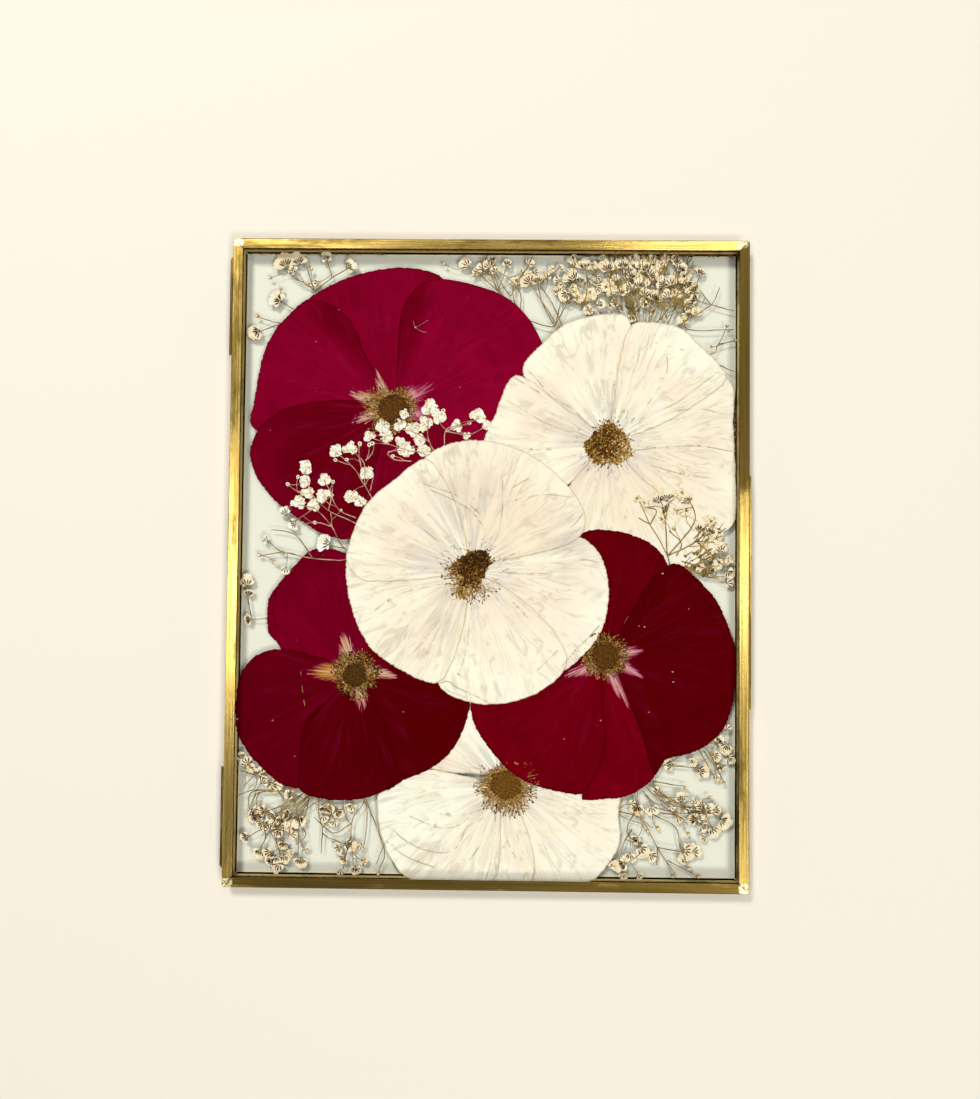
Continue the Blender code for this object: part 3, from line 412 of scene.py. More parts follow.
# the reds' two darker colours, for two and three layers, paint the shade where petals overlap; the darkest
# also deepens their mottling
roses = {
    "bottom_white_rose": {
        "petals": ["top", "right", "bottom", "left"], "eye": (7.5, -88), "colour": "white",
        "whites": ("#fffceb", "#fff3de"),
        "creases": [
            [(-36, -107), (-31, -111), (-23, -114.5), (-14, -115), (-10, -111), (-7, -105), (0, -101)],
            [(-39, -111), (-31, -117), (-20, -121)], [(3.5, -98), (4.2, -105), (3.4, -112), (4.6, -122)],
            [(3.6, -112), (2.4, -118), (0.5, -125)], [(18, -118), (19.3, -121), (19.4, -125)],
            [(-9, -98), (-3, -96), (1, -94)], [(-20, -100), (-8, -100), (1, -97)],
            [(11, -100), (16, -107), (22, -112)], [(7, -100), (8, -108), (12, -117)],
            [(-2, -112), (-6, -118)], [(-30, -101), (-20, -105), (-12, -105), (-6, -101)]],
    },
    "top_red_rose": {
        "petals": ["top", "upper_left", "right", "bottom", "lower_left"], "eye": (-38.5, 61),
        "colour": "red", "bright": "#90022e", "deep": "#6e0018", "double": "#680012", "triple": "#5a000c",
        "streak": "#9c1746",
        "tones": {"top": 0.3, "upper_left": 0.3, "right": 0.1, "bottom": 0.75, "lower_left": 0.8},
        "creases": [
            [(-30, 94), (-25, 97), (-19, 100)], [(0, 99), (6, 96), (10, 91)],
            [(-28, 92), (-28.5, 86), (-29.5, 80)], [(-80, 67), (-70, 68.5), (-60, 68)],
            [(-20, 78), (-10, 87), (-3, 91)]],
        "flares": [[(-42, 66), (-46.5, 79), 3.2, 0.8], [(-44, 63), (-59, 69), 4.6, 0.7],
                   [(-33, 66), (-20, 72), 5.0, 0.45], [(-32, 60), (-23, 57), 5.0, 0.3],
                   [(-46, 59), (-57, 55), 3.2, 0.6]],
    },
    "top_white_rose": {
        "petals": ["bottom", "upper_left", "right", "upper_right", "left"], "eye": (48, 47.5),
        "colour": "white", "tones": {"right": 0.25, "bottom": 0.3},
        "bruises": [(36, 50, 9), (47, 64, 8), (28, 58, 7)],
        "creases": [
            [(16, 76.5), (20, 72), (24.5, 66.5)], [(10, 74), (14, 71.5), (20, 68)],
            [(35, 60), (39, 56), (43, 52)], [(57, 56), (66, 60), (75, 64.5), (80, 68), (85, 72), (92, 77)],
            [(60, 56), (63, 63), (67, 69), (71, 77), (71, 83)], [(60, 52), (68, 56), (76, 58)],
            [(58, 45), (70, 46.5), (84, 47), (97, 45)], [(74, 61), (84, 62), (94, 60)],
            [(56, 64), (57, 74), (60, 84)], [(49, 58), (49, 65), (50, 73)], [(46, 60), (45, 68)],
            [(52, 58), (54, 66)], [(26, 66), (30, 63.5), (33, 62)], [(62, 40), (76, 36), (90, 34)],
            [(30, 46), (18, 45), (8, 47)], [(33, 52), (22, 56), (12, 62)]],
    },
    "left_red_rose": {
        "petals": ["hidden", "top", "right", "left", "bottom"], "eye": (-52, -45), "colour": "red",
        "bright": "#7a0020", "deep": "#560004", "double": "#540006", "triple": "#460002",
        "streak": "#84103a",
        "tones": {"hidden": 0.5, "top": 0.0, "right": 1.0, "left": 0.6, "bottom": 0.85},
        "pushes": [(-8, -56, 3, 0.9, 0)],
        "creases": [
            [(-84, -10), (-85.5, -20), (-84, -29)], [(-68, -10), (-66, -20), (-66, -30)],
            [(-60, -38), (-70, -30), (-76, -20)]],
        "flares": [[(-55, -40), (-58, -26), 5.0, 0.75], [(-58, -44), (-74, -45), 6.0, 1.0],
                   [(-51, -50), (-49, -62), 4.2, 0.75], [(-45, -44), (-34, -46.5), 3.6, 0.7]],
    },
    "right_red_rose": {
        "petals": ["top", "hidden", "bottom_left", "bottom", "right"], "eye": (47, -37), "colour": "red",
        "bright": "#780014", "deep": "#540003", "double": "#520003", "triple": "#440000",
        "streak": "#84103a",
        "tones": {"top": 0.6, "hidden": 0.5, "bottom_left": 0.1, "bottom": 0.0, "right": 0.85},
        "pushes": [(-5, -56, 3, -1.2, 0)],
        "creases": [
            [(70, -28), (82, -29), (92, -34)], [(64, -50), (72, -57), (84, -59), (94, -53)],
            [(30, -62), (26, -74), (22, -82)], [(40, -50), (36, -60)]],
        "flares": [[(41, -42), (29, -45.5), 3.6, 0.45], [(53, -36), (63, -34), 4.2, 0.5],
                   [(53, -40), (63, -46), 3.6, 0.4], [(49, -44), (57.5, -59), 3.4, 0.45]],
    },
    "middle_white_rose": {
        "petals": ["right", "top", "bottom", "lower_left", "upper_left"], "eye": (-6.5, -3.5),
        "colour": "white", "tones": {"top": 0.55, "lower_left": 0.2},
        "bruises": [(-14, 16, 14), (-26, 0, 9), (31, 8, 9), (-4, 24, 9), (-18, -24, 6)],
        "creases": [
            [(-23, 28.5), (-14, 24.5), (-8, 21), (-4, 17), (-1, 12)], [(-26, 31), (-12, 26), (-3, 19)],
            [(5.6, 33), (5.6, 23), (5, 16), (4, 11), (1, 5)],
            [(-45, -20), (-40, -16), (-33, -12.5), (-25, -10.5), (-17, -9)],
            [(-19, 11), (-15, 7.5), (-12, 4.5)], [(18, 40), (21.5, 41)],
            [(4, -1), (10, 3), (16, 3.8), (23, 4.2)], [(6, -4), (14, -4.5), (24, -4.5)],
            [(2, -10), (9, -15), (16, -22)], [(-14, -17), (-20, -25), (-29, -36)],
            [(-15, -18), (-20, -28), (-24, -37)], [(33, 14), (36, 17), (38.5, 21)],
            [(-7, -22), (-8, -34), (-11, -45)],
            [(-20, -49), (-15.5, -47.6), (-12, -50), (-5, -53), (0, -55.6)],
            [(-17, -49.5), (-15, -51.5), (-8, -54)], [(30, -41), (35, -35), (40, -30), (44.5, -25)],
            [(20, -43), (28, -35)], [(-30, 16), (-20, 8)], [(10, 30), (20, 36)],
            [(8, 24), (22, 27), (34, 26)], [(37, 1), (39, 1.2), (42, 0.6)]],
    },
}
attributeNames = ("behind", "behindTwo", "seam", "rimEdge", "flare", "flareTone", "crease", "petalTone",
                  "bruise")


def petalMaterial(name, rose):
    # a pressed petal: dry, matt and papery, with veins that fan out from its claw. Where other petals
    # overlap it, darker colour is painted as the shade of the stack
    red = rose["colour"] == "red"
    material, add = newMaterial(name)
    middle = [-rose["eye"][0], -rose["eye"][1], 0]
    place = add("Mapping", {"Vector": add("TexCoord", out="Object"), "Location": middle,
                            "Scale": (1000, 1000, 0)})
    reach = add("VectorMath", {0: place}, "Value", operation="LENGTH")
    direction = add("VectorMath", {0: place}, operation="NORMALIZE")

    def fan(around, outward, **inputs):
        # a pattern drawn out along the veins: around is how many cells go round per radian
        turned = add("VectorMath", {0: direction, "Scale": around}, operation="SCALE")
        along = add("CombineXYZ", {"Z": add("Math", {0: reach, 1: 1 / outward}, **times)})
        return add("TexNoise", {"Vector": add("VectorMath", {0: turned, 1: along}), "Scale": 1.0, **inputs})

    def both(*steps):
        # where two values both are within their steps
        first, second = [add("MapRange", {0: value, 1: low, 2: high, 4: (*top, 1.0)[0]}, **smooth)
                         for value, low, high, *top in steps]
        return add("Math", {0: first, 1: second}, **times)

    def ridge(pattern):
        # how far a pattern is from its middle value, so that thin lines can be drawn there
        return add("Math", {0: add("Math", {0: pattern, 1: 0.5}, **minus)}, **unsigned)

    edges = {key: add("Attribute", out="Fac", attribute_name=key) for key in attributeNames}
    behind, behindTwo, crease = edges["behind"], edges["behindTwo"], edges["crease"]
    streaks = fan(11, 22, Detail=4.0)
    veins = fan(34, 9, Detail=3.0, Distortion=0.4)
    mottle = add("TexNoise", {"Vector": place, "Scale": 0.11, "Detail": 5.0, "Roughness": 0.6})
    broad = add("TexNoise", {"Vector": place, "Scale": 0.035, "Detail": 2.0})
    if red:
        fleck = add("TexNoise", {"Vector": place, "Scale": 1.7, "Detail": 3.0})
        # claws: a magenta halo, then a feathered pink to cream flame
        comb = add("Math", {0: fan(38, 11, Detail=3.0), 1: 0.5}, **minus)
        flame = add("Math", {0: comb, 1: 2.0, 2: edges["flare"]}, **timesPlus)
        begun = add("MapRange", {0: edges["flare"], 1: 0.02, 2: 0.3}, **smooth)
        flame = add("Math", {0: flame, 1: begun}, **times)
        tone = edges["flareTone"]
        flameColour = layerColours(add, "#c8708c", [("#d2a482", tone, 0.3, 0.72),
                                                    ("#c48a34", tone, 0.8, 1.0)])
        colour = layerColours(add, rose["bright"], [
            (rose["deep"], edges["petalTone"]),
            # darker where other petals overlap: painted shade of the stack
            (rose["double"], behind, 0.45, 1.0, 0.9),
            (rose["triple"], behindTwo, 0.45, 1.0),
            (rose["triple"], broad, 0.6, 0.38, 0.2),
            (rose["streak"], both((streaks, 0.5, 0.78), (reach, 60, 18, 0.34))),
            (rose["streak"], veins, 0.58, 0.74, 0.2),
            (rose["triple"], veins, 0.46, 0.32, 0.2),
            (rose["triple"], mottle, 0.52, 0.38, 0.16),
            ("#a03058", fleck, 0.69, 0.76, 0.22),
            ("#8c0a48", flame, 0.02, 0.45, 0.6),
            (flameColour, flame, 0.3, 0.72, 0.92),
            ("#ead4bc", flame, 0.7, 1.1, 0.55),
            # dark lines along the creases: painted shade
            ("#3e0003", crease, 0.3, 0.9, 0.5),
            # a darker rim: the edge's own browning, and painted shade along it
            ("#3c0004", edges["rimEdge"], 0.8, 0.1, 0.4)])
    else:
        light, warm = rose.get("whites", ("#fff9e4", "#fcebd6"))
        near = add("MapRange", {0: reach, 1: 24, 2: 9, 4: 0.75}, **smooth)
        stain = add("Math", {0: near, 1: edges["bruise"]}, operation="MAXIMUM")
        warp = add("TexNoise", {"Vector": place, "Scale": 0.09, "Detail": 2.5, "Distortion": 1.0})
        crack = ridge(fan(9, 16, Detail=1.2, Distortion=0.8))
        patchy = add("MapRange", {0: streaks, 1: 0.34, 2: 0.6}, **smooth)
        colour = layerColours(add, light, [
            (warm, broad, 0.36, 0.62),
            ("#f8efe8", mottle, 0.5, 0.68, 0.5),
            ("#f6dfc2", edges["petalTone"]),
            # darker where other petals overlap: painted shade of the stack
            ("#f4e2c6", behind, 0.45, 1.0, 0.4),
            ("#ead8bc", behindTwo, 0.45, 1.0, 0.5),
            ("#fffaea", reach, 30, 52, 0.5),
            # grey-lilac bruises, strongest near the eye, and thin crinkled ribs between the veins
            ("#d8cec8", add("Math", {0: stain, 1: patchy}, **times)),
            ("#c6ab94", both((ridge(veins), 0.12, 0.0), (streaks, 0.42, 0.62, 0.24))),
            ("#b99f88", both((crack, 0.07, 0.0), (warp, 0.44, 0.6, 0.34))),
            ("#ecdabc", streaks, 0.55, 0.75, 0.3),
            # darker lines along the creases: painted shade
            ("#a8926f", both((crease, 0.2, 0.95, 0.8), (warp, 0.34, 0.56))),
            # lines along other petals' edges, painted as the shade where they lie over or under this one
            ("#c4ab86", edges["seam"], 0.45, 0.05, 0.35),
            # a darker rim: the edge's own browning, and painted shade along it
            ("#b89c70", edges["rimEdge"], 0.6, 0.05, 0.6)])
    height = add("Math", {0: streaks, 1: 1.4, 2: veins}, **timesPlus)
    endMaterial(add, colour, 0.75, height, (0.2 if red else 0.25, 0.12),
                **{"Specular IOR Level": 0.0 if red else 0.12})
    return material


def petalSheet(name, creases):
    # the CAD petal's upper side, drawn finer, and finer still along its creases
    sheet = bpy.data.objects.new(name + "_sheet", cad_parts[name].data.copy())
    bpy.context.scene.collection.objects.link(sheet)
    onlySelect(sheet)
    bpy.ops.mesh.customdata_custom_splitnormals_clear()
    bpy.ops.object.mode_set(mode="EDIT")
    bpy.ops.mesh.select_mode(type="FACE")
    bpy.ops.mesh.select_all(action="SELECT")
    bpy.ops.mesh.remove_doubles(threshold=petalLook["weld"] * mm)
    bpy.ops.mesh.select_all(action="DESELECT")
    bpy.ops.object.mode_set(mode="OBJECT")
    for face in sheet.data.polygons:
        face.select = face.normal.z < 0.1
    bpy.ops.object.mode_set(mode="EDIT")
    bpy.ops.mesh.delete(type="FACE")
    bpy.ops.object.mode_set(mode="OBJECT")
    modify(sheet, "SUBSURF", levels=petalLook["finer"])

    selectFaces(sheet, lambda middles: np.min([nearest(middles, crease) for crease in creases], axis=0)
                < petalLook["creaseReach"])
    bpy.ops.object.mode_set(mode="EDIT")
    bpy.ops.mesh.subdivide(number_cuts=2)
    bpy.ops.mesh.select_all(action="SELECT")
    bpy.ops.mesh.region_to_loop()
    bpy.ops.mesh.subdivide(number_cuts=1)
    bpy.ops.object.mode_set(mode="OBJECT")
    return sheet


def selectFaces(item, test):
    mesh = item.data
    middles = np.array([face.center[:2] for face in mesh.polygons]) / mm
    mesh.polygons.foreach_set("select", np.zeros(len(mesh.polygons), bool))
    mesh.vertices.foreach_set("select", np.zeros(len(mesh.vertices), bool))
    mesh.edges.foreach_set("select", np.zeros(len(mesh.edges), bool))
    mesh.polygons.foreach_set("select", test(middles))


def rimOf(mesh):
    # the vertices round an open sheet, in order
    uses = Counter(key for face in mesh.polygons for key in face.edge_keys)
    beside = {}
    for (a, b), count in uses.items():
        if count == 1:
            beside.setdefault(a, []).append(b)
            beside.setdefault(b, []).append(a)
    path = [min(beside)]
    path.append(beside[path[0]][0])
    while path[-1] != path[0]:
        path.append([near for near in beside[path[-1]] if near != path[-2]][0])
    return path[:-1]


def flatPlaces(mesh):
    places = np.empty(len(mesh.vertices) * 3)
    mesh.vertices.foreach_get("co", places)
    return places.reshape(-1, 3)[:, :2] / mm


def roughenRim(places, rim, chance):
    # a pressed petal's edge is faintly ragged
    loop = places[rim]
    tangent = np.roll(loop, -1, axis=0) - np.roll(loop, 1, axis=0)
    outward = np.stack([tangent[:, 1], -tangent[:, 0]], 1) / np.maximum(np.hypot(*tangent.T), 1e-6)[:, None]
    along = np.cumsum(np.hypot(*(loop - np.roll(loop, 1, axis=0)).T))
    wobble = sum(math.sin(chance.uniform(0, 6)) * np.sin(along * math.tau / length + chance.uniform(0, 6))
                 for length in (1.3, 1.9, 2.7, 4.1, 7.3, 11.0))
    places[rim] = loop + outward * (wobble * petalLook["ragged"])[:, None]


def layPetal(name, rose, sheet, rims, masks, hides, material, chance):
    mesh = sheet.data
    places = flatPlaces(mesh)
    rim = rims[name]
    hidden = np.sort([sample(hide, places) for key, hide in hides.items() if key != name], axis=0)
    # how near each place is to another petal's edge, for lines of painted shade
    seam = np.min([nearest(places, loop, 1.0) for key, loop in rims.items() if key != name], axis=0)
    away = np.min([nearest(places, crease) for crease in rose["smoothCreases"]], axis=0)
    flare, flareTone, bruise = np.zeros((3, len(places)))
    for start, tip, width, tone in rose.get("flares", []):
        start, tip = np.array(start), np.array(tip)
        axis = tip - start
        share = np.clip((places - start) @ axis / (axis @ axis), -0.4, 1)
        side = np.hypot(*(places - start - share[:, None] * axis).T)
        value = np.clip(1 - side / (width * (1.12 - np.maximum(share, 0)) ** 0.7), 0, 1)
        value = value * (1 - np.clip(share, 0, 1) ** 3)
        flareTone = np.where(value > flare, tone, flareTone)
        flare = np.maximum(flare, value)

    waves = [(chance.uniform(0.25, 0.9), chance.uniform(0, math.tau), chance.uniform(0, math.tau))
             for _ in range(9)]
    eye = np.array(rose["eye"])

    def relief(x, y, gap):
        swell = sum(np.sin(k * (x * math.cos(turn) + y * math.sin(turn)) + phase)
                    for k, turn, phase in waves) / 9
        angle = np.arctan2(y - eye[1], x - eye[0])
        reach = np.hypot(x - eye[0], y - eye[1])
        ribs = np.sin(angle * 43 + 3 * np.sin(reach / 9) + waves[0][1]) * np.clip(reach / 30, 0, 1)
        return petalLook["waveRise"] * (2 + 2 * swell + 0.5 * ribs) + petalLook["creaseRise"] * np.exp(
            -(gap / petalLook["creaseWidth"]) ** 2)

    bed = soften(spread(ground, 3), 2) + petalLook["gap"] + petalLook["thick"]
    heights = sample(bed, places) + relief(places[:, 0], places[:, 1], away)
    covered = spread(masks[name], 1)
    tops = bed[covered] + relief(gridX[covered], gridY[covered], np.full(covered.sum(), 9.0)) + 0.02
    ground[covered] = np.maximum(ground[covered], tops)
    redness[masks[name]] = rose["colour"] == "red"

    mesh.vertices.foreach_set("co", (np.column_stack([places, heights]) * mm).ravel())
    tone = rose.get("tones", {}).get(name[len(rose["name"]) + 1:-len("_petal")], 0)
    for x, y, wide in rose.get("bruises", []):
        gap = np.hypot(places[:, 0] - x, places[:, 1] - y)
        bruise = np.maximum(bruise, 0.8 * np.exp(-(gap / wide) ** 2))
    values = {"behind": hidden[-1], "bruise": bruise, "behindTwo": hidden[-2], "seam": seam,
              "rimEdge": np.maximum(insideEdge(places, rim), 0), "flare": flare, "flareTone": flareTone,
              "crease": np.exp(-(away / petalLook["creaseWidth"]) ** 2),
              "petalTone": np.full(len(places), tone)}
    for key, value in values.items():
        mesh.attributes.new(key, "FLOAT", "POINT").data.foreach_set("value", value.astype(np.float32))
    modify(sheet, "SOLIDIFY", thickness=petalLook["thick"] * mm, offset=-1)
    bpy.ops.object.shade_smooth_by_angle(angle=math.radians(40))
    paint(sheet, material)
    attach(sheet, "back_leaf")
    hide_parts(name)


def layRose(name):
    rose = roses[name]
    rose["name"] = name
    chance = random.Random(name)
    rose["smoothCreases"] = [smoothRun(crease) for crease in rose["creases"]]
    material = petalMaterial(name.replace("_", " ") + " petal", rose)
    sheets, rims, masks, hides = {}, {}, {}, {}
    for petal in rose["petals"]:
        key = f"{name}_{petal}_petal"
        sheet = petalSheet(key, rose["smoothCreases"])
        places = flatPlaces(sheet.data)
        rim = rimOf(sheet.data)
        roughenRim(places, rim, chance)
        for x, y, reach, pushX, pushY in rose.get("pushes", []):
            share = np.exp(-((places[:, 0] - x) ** 2 + (places[:, 1] - y) ** 2) / reach ** 2)
            places += share[:, None] * [pushX, pushY]
        flat = np.column_stack([places, np.zeros(len(places))])
        sheet.data.vertices.foreach_set("co", (flat * mm).ravel())
        sheets[key] = sheet
        rims[key] = places[rim][::2]
        masks[key] = gridMask(rims[key])
        # 0.5 at the rim and 1 well inside it: how surely another petal lies over or under a place
        reach = petalLook["hideReach"]
        hides[key] = soften(soften(masks[key].astype(float), reach), reach)
    for key, sheet in sheets.items():
        layPetal(key, rose, sheet, rims, masks, hides, material, chance)
    print(name, "laid, highest", round(float(ground.max()), 2), "mm")


# Eyes and sprigs are heaps of small shapes, joined in one mesh with a tone for each shape

def newHeap():
    return {"points": [], "faces": [], "tone": [], "finish": [], "count": 0}


def addShape(heap, points, faces, tone, finish=0, turn=0, place=None):
    # adds a shape as it is, or turned about the upright and moved
    if place is not None:
        c, s = math.cos(turn), math.sin(turn)
        points = points @ np.array([[c, s, 0], [-s, c, 0], [0, 0, 1]]) + np.array(place)
    heap["points"].append(points)
    heap["faces"] += [[corner + heap["count"] for corner in face] for face in faces]
    heap["tone"] += np.broadcast_to(tone, len(points)).tolist()
    heap["finish"] += [finish] * len(faces)
    heap["count"] += len(points)


def heapObject(name, heap, materials, body, slot, *replaced):
    mesh = bpy.data.meshes.new(name)
    mesh.from_pydata((np.vstack(heap["points"]) * mm).tolist(), [], heap["faces"])
    tones = mesh.attributes.new("tone", "FLOAT", "POINT")
    tones.data.foreach_set("value", np.array(heap["tone"], np.float32))
    for material in materials:
        mesh.materials.append(material)
    mesh.polygons.foreach_set("material_index", heap["finish"])
    item = bpy.data.objects.new(name, mesh)
    bpy.context.scene.collection.objects.link(item)
    onlySelect(item)
    bpy.ops.object.shade_smooth_by_angle(angle=math.radians(50))
    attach(item, body)
    if replaced:
        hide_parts(*replaced)


def modelled(item):
    # takes the shape just modelled as points and faces, and removes its object
    settle(item)
    points = np.array([vert.co for vert in item.data.vertices])
    faces = [list(face.vertices) for face in item.data.polygons]
    bpy.data.objects.remove(item, do_unlink=True)
    return points, faces


def ball(fineness=1):
    bpy.ops.mesh.primitive_ico_sphere_add(subdivisions=fineness, radius=1)
    return modelled(bpy.context.object)


def heading(turn):
    return np.array([math.cos(turn), math.sin(turn)])


def fiveRound(spot, reach):
    return spot + reach * np.array([[1, 0], [-1, 0], [0, 1], [0, -1], [0, 0]])


def tube(path, radii, sides=5):
    # a round stalk along a path, closed at both ends
    path = np.asarray(path, float)
    along = np.gradient(path, axis=0)
    along /= np.linalg.norm(along, axis=1)[:, None]
    side = np.cross(along, (0, 0, 1.0))
    side /= np.maximum(np.linalg.norm(side, axis=1), 1e-6)[:, None]
    up = np.cross(side, along)
    points = []
    for centre, a, b, radius in zip(path, side, up, radii):
        for turn in np.arange(sides) * math.tau / sides:
            points.append(centre + radius * (a * math.cos(turn) + b * math.sin(turn)))
    faces = [list(range(sides))[::-1], list(range(len(points) - sides, len(points)))]
    for ring in range(len(path) - 1):
        for k in range(sides):
            a, b = ring * sides + k, ring * sides + (k + 1) % sides
            faces.append([a, b, b + sides, a + sides])
    return np.array(points), faces


def stamenMaterial():
    # dried stamens and ovary: dull brown fibre, from nearly black tips to pale tan threads
    material, add = newMaterial("dried stamens")
    grit = add("TexNoise", {"Vector": add("TexCoord", out="Object"), "Scale": 1800.0, "Detail": 4.0})
    tone = add("Attribute", out="Fac", attribute_name="tone")
    shade = add("Math", {0: add("Math", {0: grit, 1: 0.5}, **minus), 1: 0.8, 2: tone}, **timesPlus)
    ramp = add("ValToRGB", {0: shade})
    steps = [(0.0, "#1c0d03"), (0.28, "#452807"), (0.48, "#6c430f"), (0.66, "#9a6f24"), (0.82, "#b98f4c"),
             (1.0, "#e2cda6")]
    stops = ramp.node.color_ramp.elements
    for spot, _ in steps[1:-1]:
        stops.new(spot)
    for stop, (_, code) in zip(stops, steps):
        stop.color = hexColour(code)
    endMaterial(add, ramp, 0.85, grit, (0.5, 0.15), **{"Specular IOR Level": 0.15})
    return material


# disc: the ovary's middle, its two radii, turn, height and tone; outline: where the tangled middle
# reaches; ring: the stamens, as first angle, sweep, how many, from and to; tone 0 is nearly black, 1 straw
eyes = {
    "bottom_white_rose": {
        "disc": ((8, -88.2), 6.2, 6.0, 0, 0.42, 0.46), "reach": 8.4, "crumbs": 190, "tone": (0.5, 0.85),
        "tips": 0.3, "hairs": 10,
        "ring": [(150, 130, 120, 5.5, 12), (285, 110, 150, 5.5, 13), (35, 115, 60, 5.5, 8.5)],
    },
    "top_red_rose": {
        "disc": ((-38.5, 60.8), 6.6, 6.0, 0, 0.4, 0.36), "reach": 8.8, "crumbs": 260, "tone": (0.4, 0.88),
        "tips": 0.3, "ring": [(0, 360, 130, 6.2, 9.4), (130, 120, 90, 7, 12.6)], "hairs": 0,
    },
    "top_white_rose": {
        "disc": ((47.6, 47.4), 7.0, 6.0, 2.4, 0.1, 0.4),
        "outline": [
            (39.5, 49), (42, 51.5), (45, 53.6), (47, 55.4), (50.5, 55), (53.6, 52.4), (55.4, 49.6),
            (56.8, 46), (57, 43), (54.4, 41.6), (51.5, 40), (46.5, 40.2), (42.5, 40.4), (40.2, 42.6),
            (38, 46.6)],
        "crumbs": 820, "tone": (0.42, 0.66), "golden": (0.02, -0.015), "tips": 0.5, "specks": 30,
        "ring": [(200, 130, 50, 6, 10), (75, 60, 30, 6.5, 10), (330, 50, 24, 7, 10)], "hairs": 60,
    },
    "left_red_rose": {
        "disc": ((-52.4, -45.6), 4.9, 4.7, 0, 0.45, 0.3), "reach": 8.8, "crumbs": 300, "tone": (0.15, 0.85),
        "tips": 0.75, "ring": [(0, 360, 170, 5, 9.8)], "hairs": 0,
    },
    "right_red_rose": {
        "disc": ((47, -37), 5.6, 5.4, 0, 0.4, 0.36), "reach": 8.6, "crumbs": 300, "tone": (0.25, 0.8),
        "tips": 0.2, "ring": [(0, 360, 190, 5.6, 9.4)], "hairs": 0,
    },
    "middle_white_rose": {
        "disc": ((-6.4, -3.4), 5.2, 7.0, -0.35, 0.1, 0.22),
        "outline": [
            (-11, 1.5), (-8.5, 3.2), (-4, 4.6), (-0.5, 4), (0.9, 1), (0.2, -2), (-1.5, -5), (-3.2, -9),
            (-5, -12), (-8, -13.6), (-12, -14.8), (-12.6, -11.5), (-11.6, -8), (-13.6, -5.4), (-15, -3),
            (-13, -0.5)],
        "crumbs": 900, "tone": (0.16, 0.5), "golden": (-0.014, -0.03), "tips": 0.6, "specks": 34,
        "ring": [(150, 110, 44, 8, 12), (20, 80, 30, 7, 10), (225, 90, 40, 8, 13)], "hairs": 70,
    },
}
# crumb and flake: their width; fuzz: how many specks the ovary has; hair: how far out one starts; scatter:
# how far the anthers spread; foot and hold: how far round the middle the ground is read and raised
eyeLook = {"foot": 5, "crumb": (0.35, 0.8), "flakes": 150, "flake": 1.5, "fuzz": 260,
           "fuzzWidth": (0.22, 0.5), "thread": 0.07, "tip": (0.3, 0.52), "hair": (8, 14),
           "hairRadii": (0.05, 0.06, 0.06, 0.04), "scatter": 4.2, "hold": 7.0}


def cushion(heap, middle, wide, high, turned, height, tone, base, chance):
    # the ovary: a low cushion with a raised, crumpled rim
    points, faces = ball(5)
    reach = np.hypot(points[:, 0], points[:, 1])
    turn = np.arctan2(points[:, 1], points[:, 0])
    wobble = 1 + 0.05 * np.sin(5 * turn + chance.uniform(0, 6)) + 0.03 * np.sin(11 * turn + 1)
    lump = 0.08 * np.sin(points[:, 0] * 17 + 3 * np.sin(points[:, 1] * 9)) * np.sin(points[:, 1] * 15)
    rise = abs(points[:, 2]) ** 0.6 + np.exp(-((reach - 0.86) / 0.08) ** 2) * 0.4 + lump
    shaped = np.column_stack([points[:, 0] * wide * wobble, points[:, 1] * high * wobble,
                              np.where(points[:, 2] > 0, rise * height, 0)])
    addShape(heap, shaped, faces, tone, 0, turned, (*middle, base + 0.02))


